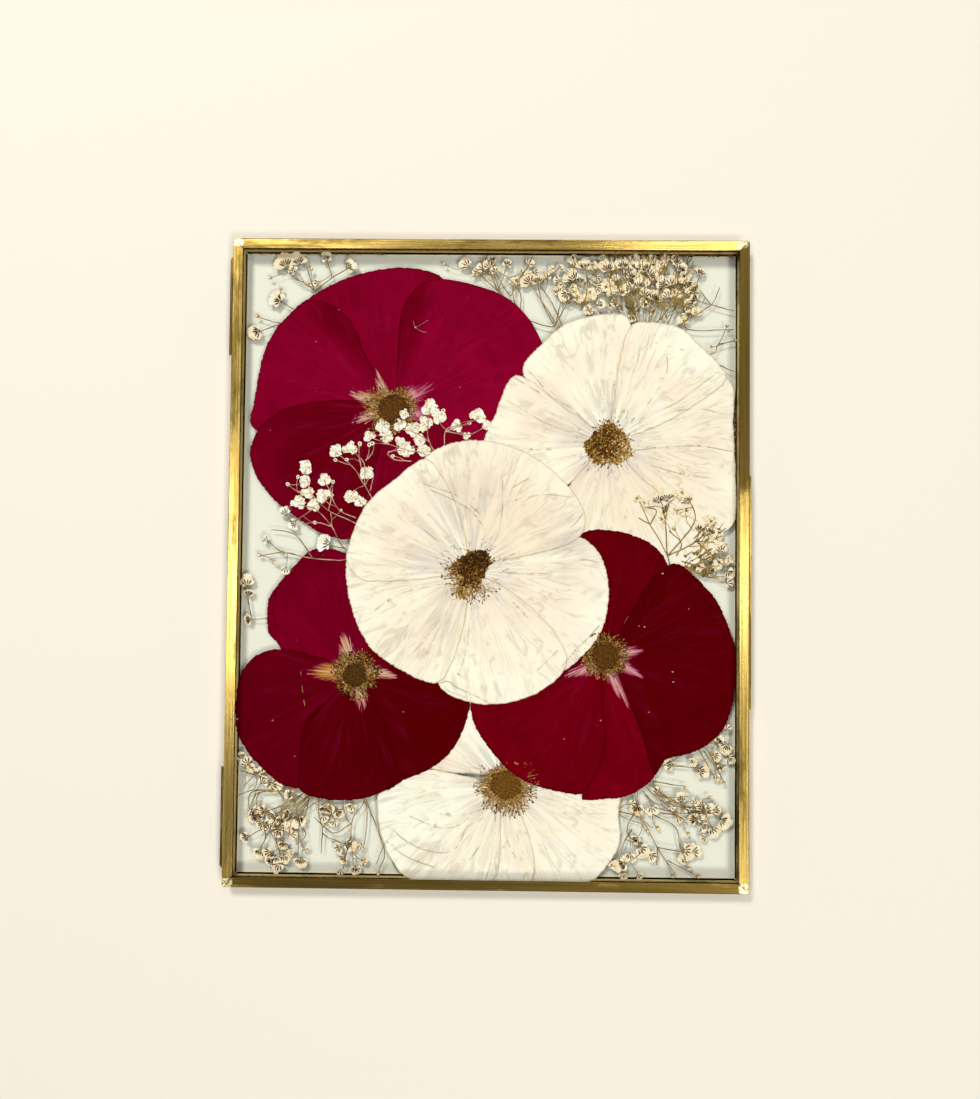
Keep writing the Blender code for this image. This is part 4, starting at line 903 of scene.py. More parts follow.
def layEye(name, material):
    eye = eyes[name]
    chance = random.Random(name + " eye")
    middle = np.array(roses[name]["eye"], float)
    bed = soften(spread(ground, 2), 2)
    base = float(sample(bed, fiveRound(middle, eyeLook["foot"])).max())
    heap = newHeap()
    crumb = ball()

    def dropCrumb(spot, wide, level, tone, thin=0.16):
        shape = crumb[0] * [wide, wide * chance.uniform(0.25, 0.7), thin]
        shape = shape * [[chance.uniform(0.75, 1.25)] for _ in shape]
        addShape(heap, shape, crumb[1], tone, 0, chance.uniform(0, math.tau), (*spot, level))

    outline = np.array(eye["outline"], float) if "outline" in eye else None
    cushion(heap, *eye["disc"], base, chance)
    placed = 0
    while placed < eye["crumbs"]:
        if outline is None:
            turn, reach = chance.uniform(0, math.tau), eye["reach"] * math.sqrt(chance.random())
            reach *= 1 + 0.12 * math.sin(3 * turn + len(name)) + 0.08 * math.sin(7 * turn)
            spot = middle + reach * heading(turn)
            if math.dist(spot, eye["disc"][0]) < eye["disc"][1] - 0.6:
                continue
            dropCrumb(spot, chance.uniform(*eyeLook["crumb"]), base + chance.uniform(0.1, 0.35),
                      chance.uniform(*eye["tone"]))
        else:
            low, high = outline.min(0), outline.max(0)
            spot = np.array([chance.uniform(low[0], high[0]), chance.uniform(low[1], high[1])])
            gap = insideEdge(spot[None], outline)[0]
            if gap < 0:
                continue
            # large flakes first, as a bed for the small ones; darker inward
            flake = placed < eyeLook["flakes"]
            wide = eyeLook["flake"] if flake else chance.uniform(*eyeLook["crumb"])
            rise = 0.1 if flake else chance.uniform(0.15, 0.25) + 0.1 * min(gap, 2.5)
            level = sample(bed, spot[None])[0] + rise
            inward = min(gap / 4.0, 1)
            tone = eye["tone"][1] + (eye["tone"][0] - eye["tone"][1]) * inward * chance.uniform(0.3, 1.1)
            tone += float((spot - middle) @ eye["golden"])
            tone += chance.choice((-0.22, -0.08, 0, 0.1, 0.3))
            dropCrumb(spot, wide, level, tone, 0.12 if flake else 0.2)
        placed += 1
    middleOf, wide, high, _, height, discTone = eye["disc"]
    for _ in range(0 if "outline" in eye else eyeLook["fuzz"]):
        # the ovary's fuzz
        turn, reach = chance.uniform(0, math.tau), math.sqrt(chance.random()) * 0.97
        spot = np.array(middleOf) + reach * (heading(turn) * [wide, high])
        level = base + height * (0.75 + 0.5 * math.exp(-((reach - 0.86) / 0.1) ** 2))
        dropCrumb(spot, chance.uniform(*eyeLook["fuzzWidth"]), level,
                  discTone + chance.choice((-0.2, -0.1, 0.05, 0.16)), 0.12)
    for _ in range(eye.get("specks", 0)):
        # nearly black anthers
        spot = middle + [chance.gauss(0, eyeLook["scatter"]), chance.gauss(0, eyeLook["scatter"])]
        if insideEdge(spot[None], outline)[0] > 0.4:
            dropCrumb(spot, 0.6, sample(bed, spot[None])[0] + 0.55, chance.uniform(0.0, 0.15), 0.16)
    for first, sweep, count, near, far in eye["ring"]:
        for _ in range(count):
            turn = math.radians(first + chance.uniform(0, sweep))
            inner, outer = near * chance.uniform(0.75, 1.0), far * chance.uniform(0.6, 1.06)
            bend = chance.uniform(-0.7, 0.7)
            path = []
            for share in (0, 0.35, 0.7, 1):
                reach = inner + (outer - inner) * share
                angle = turn + bend * share ** 2 * 0.5
                spot = middle + reach * heading(angle)
                rise = 0.12 + 0.2 * (1 - share) + 0.08 * chance.random()
                path.append((*spot, sample(ground, spot[None])[0] + rise))
            radii = eyeLook["thread"] * np.array([1, 1, 1, 0.7])
            addShape(heap, *tube(path, radii, 4), chance.uniform(0.55, 0.92))
            dark = chance.random() < eye["tips"]
            wide = chance.uniform(*eyeLook["tip"])
            tone = chance.uniform(0.0, 0.3) if dark else chance.uniform(0.5, 0.9)
            addShape(heap, crumb[0] * [wide, wide * 0.62, 0.18], crumb[1], tone, 0, turn + bend, path[-1])
    for _ in range(eye["hairs"]):
        # loose grey hairs pressed flat on the petals
        turn, reach = chance.uniform(0, math.tau), chance.uniform(*eyeLook["hair"])
        spot = middle + reach * heading(turn)
        turn += chance.uniform(-0.9, 0.9)
        bend = chance.uniform(-0.7, 0.7)
        path = []
        for share in (0, 0.33, 0.66, 1):
            angle = turn + bend * share
            spot = spot + chance.uniform(0.3, 0.8) * heading(angle)
            path.append((*spot, sample(ground, spot[None])[0] + 0.07))
        addShape(heap, *tube(path, eyeLook["hairRadii"], 3), chance.uniform(0.3, 0.85))
    heapObject(name + "_stamens", heap, [material], "back_leaf", "stamens", name + "_eye")
    raiseGround([middle], eyeLook["hold"], [base + 0.5])


# Baby's breath. stems: from foot to tip; florets: place, radius and, where it shows, how it was pressed;
# brush: middle, half width, half height and how many short stalks; open: how many florets lie open

# stem, twig and shortStalk: their radii; twigReach: nearer than this a twig starts further back on its
# stem; leafed: how many short stalks carry a dry leaf
sprigLook = {"stem": 0.24, "twig": 0.15, "twigReach": 4.5, "shortStalk": (0.12, 0.22), "leafed": 0.75}
# parts: a bud's cup and tip, length and width by its radius, thickness and rise in mm; lean: how far out
# the tip is
budLook = {"largest": 1.5, "parts": ((0.85, 0.7, 0.2, 0.16), (0.45, 0.36, 0.14, 0.28)), "lean": 0.3}
# lobe: an open floret's petals, how far each lobe is from the middle and its painted fold shades; edges: its
# brown edges;
# fan: a side-on floret's petals, how wide they fan out, how high they pile up and their painted fold shades
floretLook = {"lobePetals": 6, "lobeApart": 0.42, "lobeFolds": 3, "edges": 9,
              "fanPetals": 9, "fan": 1.4, "fanRise": 0.3, "fanFolds": 5}
sprigs = {
    "top_left_sprig": {
        "stems": [
            [(-68, 96), (-71, 108.5), (-80, 114.5), (-83, 121)], [(-71, 108.5), (-75, 120)],
            [(-71, 108.5), (-64, 114), (-57, 118.5)], [(-64, 114), (-66, 121)],
            [(-68, 96), (-79, 101), (-86, 105)], [(-68, 96), (-84, 95.5), (-94, 98)],
            [(-84, 95.5), (-94, 91.5)]],
        "florets": [
            (-83.2, 120.4, 4.1), (-77.8, 121, 3.4), (-66.5, 122, 2.3), (-57, 119, 2.9), (-86, 105, 3.4),
            (-94.4, 91.8, 3), (-94, 98.3, 1.3), (-80, 117, 2.2), (-70, 112, 1.9), (-73, 111, 1.4),
            (-89, 114, 1.2), (-84.5, 109.5, 1.2), (-72.5, 117.5, 1.2)],
    },
    "top_middle_sprig": {
        "stems": [
            [(12, 98), (3, 109), (-9, 119)], [(3, 109), (-1, 119)], [(12, 98), (9, 110), (15.5, 119.5)],
            [(12, 98), (26, 95), (20, 106), (15, 113)], [(26, 95), (28, 104), (27.5, 109)],
            [(3, 109), (6.5, 119)], [(8, 107), (13, 116), (17.5, 124.3)], [(5, 106), (2, 114), (0.4, 121)],
            [(3, 109), (0, 115), (-4, 118)], [(8, 107), (4, 113), (1.6, 117)], [(-3.4, 115), (-3.2, 123.6)],
            [(12, 98), (12, 108), (8.6, 113), (3, 117)], [(26, 95), (21, 104), (18.6, 113)],
            [(30, 92), (25, 104), (20, 111)], [(26, 95), (30, 103), (31.4, 107)],
            [(20, 112), (23, 115), (27, 118)]],
        "florets": [
            (-10, 119.8, 2.7), (-1, 119.5, 2.5), (6.5, 120.2, 2.2), (15.5, 120.5, 1.8), (15, 113.6, 3.5),
            (27.5, 109, 2.3), (31.5, 106.8, 2.7), (-18.5, 119.8, 1.1), (-7, 115.5, 1.3), (22, 116.5, 1.3),
            (26.5, 114, 1.5), (-3.8, 118.4, 1.9), (0.4, 121.6, 2), (1.8, 117.2, 1.9), (-5.6, 116.8, 1.5),
            (9.6, 113.2, 2.3), (18.8, 113.4, 2.5), (22.8, 115, 1.9), (24.6, 118, 1.6), (27.6, 118.6, 1.6),
            (18, 116.6, 1.6), (12.4, 116.4, 1.6)],
    },
    "top_right_sprig": {
        "stems": [
            [(60, 90), (44, 97), (38, 104), (34, 114), (33, 121)], [(38, 104), (39, 112), (38, 119)],
            [(60, 90), (50, 104), (47, 118)], [(60, 90), (56, 104), (54, 119)],
            [(60, 90), (62, 106), (61, 121)], [(60, 90), (67, 104), (68, 119)],
            [(60, 90), (72, 103), (74, 113), (75, 121)], [(72, 103), (78, 114)],
            [(60, 90), (78, 97), (82, 109), (84, 116)], [(78, 97), (88.5, 104), (92, 111)],
            [(88.5, 104), (98, 101.5)], [(78, 97), (80, 93.8), (97.6, 94)],
            [(60, 90), (86.5, 84), (91.5, 88), (95, 95.4)], [(91.5, 88), (98.2, 89.5)],
            [(91, 80), (98, 77)], [(88.5, 104), (84, 110)], [(60, 94), (57, 104), (58, 112)],
            [(63, 94), (64, 103), (60, 110)], [(66, 94), (69, 102), (68, 110)],
            [(70, 94), (74, 103), (72, 110)], [(58, 94), (60, 102), (64, 109)]],
        "brush": [(68, 104, 14, 6, 90), (52, 107, 8, 7, 40), (64, 116, 17, 7, 150), (38, 112, 8, 9, 30)],
        "florets": [
            (33, 122, 2.4), (37.6, 119.6, 3), (45, 122.6, 1.6), (47, 119, 3.5), (33, 115, 3.4),
            (33.5, 110.4, 2.4), (40, 108, 3), (39.5, 101.8, 2.3), (44, 104, 2), (47.2, 111, 3.5),
            (52, 108.8, 2.7), (53, 120, 2.9), (60, 121.8, 3), (60, 112, 3.4), (64.5, 116.2, 3),
            (68, 120, 3.2), (66, 107, 3.6), (62, 104.5, 2.2), (72, 113, 3.2), (74.5, 108.5, 2.6),
            (75, 121, 2), (78, 114.8, 3), (81.5, 110, 3.2), (84, 117, 2.4), (80, 104.5, 2.4),
            (77.5, 98, 2.6), (83, 101, 2.4), (57, 98.8, 2), (70, 122.6, 2), (56.5, 115.4, 2.2),
            (43, 114.6, 1.6), (50.4, 115, 1.7), (95, 95.6, 1.1), (98, 89.6, 1.1), (88.5, 87, 1.1),
            (55.5, 118, 2.4), (62.5, 118.8, 2.8), (58.6, 116.5, 2.2), (76.5, 118.4, 2.6), (69, 112.5, 2.8),
            (71, 108, 2.6), (79.4, 112, 2.6), (62, 108.4, 2.6), (50, 104.6, 2.2), (55.4, 110.8, 2.4),
            (43.2, 110.4, 2.4), (79.6, 103.2, 2.4), (82, 106.4, 2.2), (35.4, 106.8, 2.6), (30, 107.4, 2.6),
            (29, 112, 1.8), (27, 113.4, 1.6), (74, 122.4, 1.8), (65, 122.4, 2.2), (57, 122.2, 2),
            (49.6, 121, 2.4), (41.5, 119.6, 2)],
        "open": 0.35,
    },
    "bottom_left_sprig": {
        "stems": [
            [(-66, -88), (-77, -91), (-84, -89), (-91, -85), (-95, -80.5)],
            [(-66, -88), (-76, -95), (-91, -102)], [(-76, -95), (-84, -104), (-81, -117)],
            [(-76, -95), (-74, -103), (-74, -118)], [(-84, -104), (-94, -110)], [(-84, -104), (-89, -115)],
            [(-66, -88), (-61, -99.5), (-64.5, -108), (-54, -113)],
            [(-66, -88), (-48, -93), (-53, -104), (-52, -121)], [(-64.5, -108), (-64.8, -116)],
            [(-48, -93), (-40, -114), (-42, -123)], [(-40, -112), (-36, -120), (-33.5, -124)],
            [(-66, -88), (-72, -60), (-78, -26), (-94, -24)], [(-94, -24), (-97, -10)],
            [(-84, -92), (-92, -91.6), (-98, -93.6)], [(-84, -92), (-91, -93), (-94, -100)],
            [(-68, -92), (-73, -100), (-79, -104)], [(-64, -94), (-70, -98), (-74, -101)],
            [(-62, -96), (-58, -99)], [(-53, -104), (-60, -108), (-68, -102)],
            [(-80, -91.8), (-92, -92), (-94, -97), (-92, -101)], [(-84, -91), (-90, -93), (-91, -99)],
            [(-72, -92), (-78, -99), (-83, -102)], [(-68, -92), (-74, -97), (-75, -102)],
            [(-76, -92), (-81, -99), (-80, -106), (-80, -113)], [(-78, -100), (-82, -107), (-83, -114)],
            [(-74, -104), (-71, -109), (-75, -113)], [(-88, -105), (-87, -110), (-89, -114)],
            [(-50, -92), (-47, -98), (-47, -106), (-48, -113)],
            [(-43, -92), (-40, -100), (-39.6, -110), (-43, -120)], [(-66, -92), (-66, -100), (-64.6, -106)],
            [(-52, -110), (-55, -116), (-56, -122)], [(-97.4, -84), (-90, -86), (-83, -88)],
            [(-96, -90), (-92, -86), (-88, -83)], [(-70, -93), (-78, -100), (-84, -108)],
            [(-68, -93), (-76, -102), (-78, -110)], [(-66, -90), (-74, -97), (-81, -98), (-88, -100)],
            [(-84, -89), (-80, -96), (-81, -103)], [(-56, -92), (-56.4, -98), (-54, -104)],
            [(-70, -93), (-71, -100), (-74, -107), (-72, -114)]],
        "florets": [
            (-95.5, -80.5, 2.8), (-91.5, -85, 2), (-88.5, -88, 2.2), (-84, -89.5, 3), (-77.5, -93, 2),
            (-92, -102, 3), (-89, -104.5, 2), (-84, -102, 2.4), (-86, -106.5, 2.6), (-82, -108, 2.4),
            (-78, -105.5, 2.5), (-74, -103, 3.4), (-95, -110, 2.2), (-89.5, -116, 2.6),
            (-82.5, -118.5, 2.8), (-82, -121.4, 2.6), (-77, -116, 1.8), (-73, -119.5, 3), (-62, -98.5, 2),
            (-58, -100, 2.6), (-53, -97.6, 2.2), (-64, -102, 1.8), (-54, -112.5, 3), (-49, -113, 1.6),
            (-56, -118, 2), (-48, -119, 1.6), (-51, -122, 2.2), (-57, -123, 1.6), (-42, -123.4, 1.3),
            (-92, -100, 2.6), (-86, -101, 2.4), (-81, -103.4, 2.4), (-87, -105, 2.6), (-80, -112.6, 2.2),
            (-86, -116, 2.2), (-64, -98.6, 2.2), (-47.6, -118.4, 1.4), (-58, -114, 2.4), (-96.4, -9, 3),
            (-95.5, -13.6, 2), (-93.6, -83, 2.2), (-97, -78.4, 2), (-89.4, -84.4, 1.8), (-78.6, -101, 2.2),
            (-88.4, -99.4, 2.2), (-81, -106, 2.4), (-76.2, -109, 1.8), (-85, -119.4, 2.2),
            (-79.4, -118, 2.2), (-71.4, -114.4, 1.5), (-60, -104, 1.8), (-95.4, -24, 2.2),
            (-91, -102.6, 2.2)],
    },
    "bottom_right_sprig": {
        "stems": [
            [(58, -82), (60, -96), (68, -112), (75, -122)], [(68, -112), (80, -114)],
            [(58, -82), (70, -94), (86, -97), (94, -101)], [(86, -97), (90, -105)],
            [(58, -82), (70, -80), (85, -81)], [(70, -80), (88, -71), (96, -76)], [(88, -71), (95.5, -65)],
            [(60, -96), (56, -106), (62, -113), (54, -120)],
            [(66, -99), (75, -104), (77, -112), (79, -116)], [(69, -98.5), (76, -99.5), (80, -103)],
            [(66, -86), (69, -92), (80, -92)], [(55, -93), (52.5, -96), (54, -100), (62, -103)],
            [(88, -74), (92, -82), (94, -86)], [(68, -112), (67.8, -119)],
            [(66, -88), (72, -93), (80, -96), (88, -95)], [(69, -97), (80, -98.6), (89, -96)],
            [(66, -86), (74, -87.4), (79, -88)], [(70, -91), (78, -96), (84, -102)],
            [(74, -95), (84, -98.4), (92, -98)], [(62, -90), (66, -94), (72, -97), (78, -101)],
            [(86, -74), (90, -79), (94, -82)], [(84, -73), (88, -80), (91, -86)], [(60, -90), (60, -96)],
            [(52, -98), (60, -100), (66, -104.4)], [(58, -105), (55, -110), (53, -117)],
            [(72, -117), (84, -123)]],
        "florets": [
            (72.5, -79.4, 2.7), (82, -78.5, 2), (85.5, -82, 3.2), (95, -72.5, 3), (96.4, -77, 2.2),
            (95.4, -65, 1.9), (93, -80, 2), (60, -97, 3), (66, -97, 2.6), (58, -95, 1.6), (68, -104.5, 1.4),
            (64, -105.5, 1.2), (71.5, -93, 1.4), (77, -93, 2.4), (79, -88.5, 1.2), (88.5, -92.3, 1.2),
            (85, -95.5, 2), (88, -97, 2.8), (94, -101.5, 3.2), (82, -101, 2.4), (90, -105, 2.8),
            (80, -106.5, 1.2), (59.5, -109, 2), (62, -113, 3.2), (66, -115.5, 2.4), (54, -119, 3),
            (80, -113, 3.2), (83, -113.5, 2.4), (78, -116.5, 2.4), (80.5, -120, 1.2), (54.5, -123, 1.8),
            (60.5, -123, 1.8), (74, -123, 1.3), (94, -86.5, 1.2), (84.4, -100, 2), (73.4, -96.4, 1.7),
            (80.4, -97.4, 1.8), (91.2, -97, 2.2), (86, -103.6, 2.2), (76.4, -100.6, 1.7), (90.6, -76, 2.2),
            (91, -84, 1.6), (67.6, -90, 1.7), (82.6, -94, 1.7), (57, -115.6, 2.4), (50.6, -119.6, 2),
            (86.4, -108, 1.5), (92, -70, 2), (84, -123, 1.4)],
    },
    "upper_middle_sprig": {
        "stems": [
            [(-16, 36), (-24, 48), (-24, 61)], [(-16, 36), (-17.5, 52), (-8, 55)],
            [(-16, 36), (-26, 43), (-33, 44.5), (-48, 49.5)], [(-24, 48), (-31, 52), (-42, 53.5)],
            [(-17.5, 52), (-4, 57.5)], [(-17.5, 52), (-8, 51), (-1, 54.5)],
            [(-31, 40), (-38, 40.6), (-40.5, 43.5), (-35, 44.4)]],
        "florets": [
            (-48, 50, 2.3), (-42.5, 54, 2.9), (-34, 58.8, 1.9), (-36, 54.5, 2.5), (-41, 49.5, 2.6),
            (-36, 48, 2.1), (-30.5, 53, 3), (-28, 49, 2.5), (-24, 62, 3.2), (-20.5, 58, 3), (-25.5, 55, 3),
            (-18.5, 60.5, 1.2), (-13, 54.5, 2.5), (-8, 55.5, 1.1), (-9, 50.5, 1.6), (-4.5, 58.5, 2.9),
            (-0.8, 54.8, 2.1), (-33, 44.5, 3), (-26, 44.4, 2.5), (-38.5, 42, 1.1), (-46.8, 47, 1.3)],
    },
    "middle_left_sprig": {
        "stems": [
            [(-42, 16), (-49.5, 30), (-55, 38), (-61, 43)], [(-49.5, 30), (-50, 39), (-55, 44)],
            [(-49.5, 30), (-47.5, 34)], [(-42, 16), (-52, 24)], [(-55, 38), (-61, 40)],
            [(-51, 37), (-52, 42), (-52, 46)], [(-47.4, 28), (-46, 34)],
            [(-49.4, 40), (-46.8, 43), (-46, 46)]],
        "florets": [
            (-61.5, 44, 2.6), (-56, 45, 2.8), (-51.8, 46.8, 1.3), (-61.5, 40.2, 1.1), (-57, 40.4, 1.1),
            (-48.8, 35, 2.8), (-55, 25.5, 2.7), (-51.2, 23.5, 2.4), (-48, 46.4, 1.2)],
    },
    "right_sprig": {
        "stems": [
            [(72, -6), (71.5, 3), (64.5, 15.5), (60.5, 24.5)], [(71.5, 3), (70.5, 17.5), (68.5, 26)],
            [(70.5, 17.5), (72, 24)], [(71.5, 3), (80, 13), (82.5, 19), (79.5, 26)],
            [(71.5, 3), (83, 9), (90, 16)], [(83, 9), (92, 1), (96.5, -4)], [(83, 9), (90, 8.5)],
            [(64.5, 15.5), (60, 18)], [(64.5, 15.5), (67, 21), (62, 22.5)], [(75, 3), (77, 8), (72, 13)],
            [(82, 10), (89, 17)], [(79, -1), (86, -5), (94, -5)], [(77, 1), (84, -1), (90, -3)]],
        "florets": [
            (59.5, 25.5, 1.7), (62.3, 23.4, 2.2), (67.5, 25.6, 2.6, "crown"), (70.8, 26.4, 2.8, "crown"),
            (74, 27, 2, "edged"), (79, 25.4, 2.8, "crown"), (76.6, 28, 2, "edged"), (78.6, 20.6, 2.2),
            (70.5, 21.5, 2.2, "crown"), (69.6, 17.6, 1.9), (75.4, 21, 1.7), (74, 14, 1.3), (88, 17, 2.6),
            (84, 14, 2.2), (88.5, 13, 2.6), (90.6, 10.4, 2.6), (86.5, 8.6, 2.6), (92.6, 6, 2.6),
            (88, 3.4, 2.4), (84.5, -1.4, 2), (91.6, 0, 2.6), (96, 1.6, 2), (96, -3.6, 2.4),
            (95.8, -7.6, 1.8), (89, -3, 2), (84.6, 8, 1.6), (92, -5.5, 1.3)],
        "open": 0.75, "brush": [(83.5, -0.5, 5, 5, 40), (88, 8, 5, 7, 20)],
    },
    "left_sprig": {
        "stems": [
            [(-44, 3), (-57, 0.2), (-70, 0.6), (-82, 2.8), (-91, 1.6)], [(-82, 2.8), (-88.5, 7.6)],
            [(-70, 0.6), (-76, 9), (-81, 11.4), (-87, 12)],
            [(-44, 3), (-57, 4.6), (-62.5, 13.5), (-69.5, 21)], [(-57, 4.6), (-65, 6.5)],
            [(-44, 3), (-50, 13), (-64, 20), (-71, 27), (-73.5, 36)], [(-64, 20), (-63, 26), (-66, 32)],
            [(-69.5, 21), (-76, 22)], [(-69.5, 21), (-78, 15.5), (-81, 18.6)],
            [(-62.5, 13.5), (-68, 15), (-74, 14.4)], [(-53, 17), (-59.5, 20), (-62.5, 25), (-62.4, 30)],
            [(-75, 27), (-78, 28.4), (-80.4, 30.2)], [(-62.5, 13.5), (-63, 19)]],
        "florets": [
            (-73.5, 37, 2.9), (-73.5, 31.5, 2.5), (-66, 32.5, 2.8), (-80.5, 30.3, 1.2), (-76.5, 33.3, 1.1),
            (-62.3, 31.4, 1.1), (-72.5, 27, 2.6), (-66.5, 26, 2.8), (-76, 23, 3.1), (-70, 21.8, 2.8),
            (-62.8, 26, 1.1), (-81.5, 19, 2.4), (-78, 14.5, 2.4), (-65, 7, 3.5), (-89, 8, 1.7),
            (-91.5, 1.8, 1.4), (-82, 2.8, 1.3), (-85.5, -1, 1.4), (-81, -4, 1.9), (-69.4, 15, 1.1),
            (-59, 20, 0.9)],
    },
}
sprigsOnRed = ("upper_middle_sprig", "middle_left_sprig", "left_sprig")


def floretMaterial(name, light, middle, shade, fold):
    # dried baby's breath: thin, matt and crumpled petals, pale at their tips; the tan in their folds is
    # painted shade
    material, add = newMaterial(name)
    blot = add("TexNoise", {"Vector": add("TexCoord", out="Object"), "Scale": 900.0, "Detail": 3.0})
    tone = add("Attribute", out="Fac", attribute_name="tone")
    share = add("Math", {0: add("Math", {0: blot, 1: 0.5}, **minus), 1: 0.9, 2: tone}, **timesPlus)
    colour = layerColours(add, light, [(middle, share, 0.1, 0.5), (shade, share, 0.45, 0.85),
                                       (fold, share, 0.9, 1.2)])
    endMaterial(add, colour, 0.8, blot, (0.4, 0.1), **{"Specular IOR Level": 0.15})
    return material


def stemMaterial(name, light, dark, onRed, onRedDark):
    # a dried herb stem: dull straw green, browner at the joints, rosy where a red petal stained it
    material, add = newMaterial(name)
    blot = add("TexNoise", {"Vector": add("TexCoord", out="Object"), "Scale": 260.0, "Detail": 4.0})
    stain = add("Attribute", out="Fac", attribute_name="tone")
    plain, rosy = [layerColours(add, pale, [(deep, blot, 0.38, 0.62)])
                   for pale, deep in ((light, dark), (onRed, onRedDark))]
    endMaterial(add, layerColours(add, plain, [(rosy, stain)]), 0.8, **{"Specular IOR Level": 0.1})
    return material


def floretPetal():
    # one small petal from 0 to 1 along +X: narrow claw, broad scalloped tip, a wavy face
    bpy.ops.mesh.primitive_grid_add(x_subdivisions=4, y_subdivisions=7, size=1, location=(0.5, 0, 0))
    petal = bpy.context.object
    for vert in petal.data.vertices:
        along, side = vert.co.x + 0.5, vert.co.y * 2
        width = 0.12 + 0.42 * math.sin(min(along * 1.25, 1) * math.pi / 2) ** 1.5
        notch = max(along - 0.5, 0) * (0.22 * side ** 2 + 0.16 * (1 - math.cos(side * 8)) / 2)
        vert.co.x = along - notch - 0.5
        vert.co.y = side * width
        vert.co.z = 0.12 * math.sin(side * 5 + along * 2) * along
    return modelled(petal)


def layBud(heap, crumb, spot, radius, facing, base, onRed):
    # a bud: on red a pale ring with a dark middle, elsewhere a brown cup with a pale tip
    tones = (0.3, 1.2) if onRed else (1.1, 0.4)
    tip = spot + (0 if onRed else budLook["lean"]) * radius * heading(facing)
    for middle, (long, wide, thick, rise), tone in zip((spot, tip), budLook["parts"], tones):
        shape = crumb[0] * [radius * long, radius * wide, thick]
        addShape(heap, shape, crumb[1], tone, 0, facing, (*middle, base + rise))


def layFloret(heap, petal, crumb, spot, radius, facing, base, chance, openness):
    def stroke(start, turn, long, wide, rise, tone, finish=0):
        # a thin lens; the cup's fingers, finish 1, narrow toward their foot
        shape = crumb[0] * [long, wide, 0.07]
        if finish == 1:
            shape[:, 1] *= 0.72 + 0.28 * crumb[0][:, 0]
        addShape(heap, shape, crumb[1], tone, finish, turn, (*(start + long * heading(turn)), base + rise))

    def place(middle, turn, length, broad, level, tone):
        shape = petal[0] * [length, broad, radius * 0.3]
        addShape(heap, shape, petal[1], tone, 0, turn, (*middle, base + level))

    forward = heading(facing)
    if openness in ("plain", "edged"):
        # open: three or four crumpled lobes round a heart, each of a few petals
        lobes = chance.randint(3, 4)
        first = chance.uniform(0, math.tau)
        for lobe in range(lobes + 1):
            turn = first + lobe / lobes * math.tau + chance.uniform(-0.3, 0.3)
            away = 0 if lobe == lobes else floretLook["lobeApart"] * radius * chance.uniform(0.8, 1.2)
            heart = spot + away * heading(turn)
            for k in range(floretLook["lobePetals"]):
                side = turn + (k + 0.5) / floretLook["lobePetals"] * math.tau
                side += chance.uniform(-0.35, 0.35)
                length = radius * chance.uniform(0.42, 0.68)
                level = 0.06 + 0.03 * k + 0.06 * (lobe == lobes)
                # each lobe's lowest three petals are painted darker, as shade
                place(heart, side, length, length * chance.uniform(0.8, 1.3), level,
                      chance.uniform(0, 0.5) + (0.3 if k < 3 else 0))
            # tan strokes in the lobe: painted shade in its folds
            for _ in range(floretLook["lobeFolds"]):
                side = chance.uniform(0, math.tau)
                stroke(heart + 0.2 * radius * heading(side), side, radius * 0.13, 0.1, 0.36,
                       chance.uniform(0.9, 1.25))
        if openness == "edged":
            # on glass the edges dried brown, and a finger or two of the cup shows
            for _ in range(floretLook["edges"]):
                turn = chance.uniform(0, math.tau)
                edge = spot + radius * chance.uniform(0.8, 1.05) * heading(turn)
                stroke(edge, turn + chance.uniform(1.1, 2.0), radius * chance.uniform(0.1, 0.2), 0.09,
                       0.12, 0.0, 2)
            for _ in range(chance.randint(1, 3)):
                turn = facing + chance.uniform(-1.2, 1.2)
                stroke(spot, turn, 0.5 + 0.1 * radius, 0.2, 0.45, 0.1, 1)
        return
    # pressed half sideways: a fan of thin petals, and before it the cup's dark fingers on short stalks
    calyx = spot - 0.6 * radius * forward
    count = floretLook["fanPetals"] + chance.randint(-2, 1)
    for k in range(count):
        share = ((k * 3) % count + 0.5) / count * 2 - 1
        turn = facing + share * floretLook["fan"] + chance.uniform(-0.2, 0.2)
        length = radius * (1.6 - 0.8 * abs(share) ** 1.5) * chance.uniform(0.75, 1.1)
        place(calyx + 0.2 * radius * forward, turn, length, 0.6 * length * chance.uniform(0.8, 1.2),
              0.06 + floretLook["fanRise"] * k / count, chance.uniform(0, 0.65))
    for _ in range(floretLook["fanFolds"]):
        # tan strokes painted as shade in the folds, and edges that dried tan
        turn = facing + chance.uniform(-1.4, 1.4)
        edge = calyx + radius * chance.uniform(1.0, 1.6) * heading(turn)
        stroke(edge, turn + chance.uniform(0.7, 2.4), radius * chance.uniform(0.12, 0.24), 0.06, 0.36, 1.05)
    fingers = chance.randint(6, 7) if openness == "crown" else chance.randint(4, 6) if radius > 1.9 else 3
    start, size = 0.4 + 0.14 * radius, 0.58 + 0.24 * radius
    for k in range(fingers):
        fan = 1.15 if openness == "crown" else chance.uniform(0.8, 1.05)
        turn = facing + ((k + 0.5) / fingers * 2 - 1) * fan
        stroke(calyx, turn, 0.6 * start, 0.12, 0.44, 0.0, 2)
        stroke(calyx + start * heading(turn), turn, size * chance.uniform(0.75, 1.05),
               0.19 + 0.042 * radius, 0.54, 0.1, 1)
    stroke(calyx - 0.2 * forward, facing, 0.3 + 0.05 * radius, 0.14 + 0.06 * radius, 0.3, 0.0, 2)


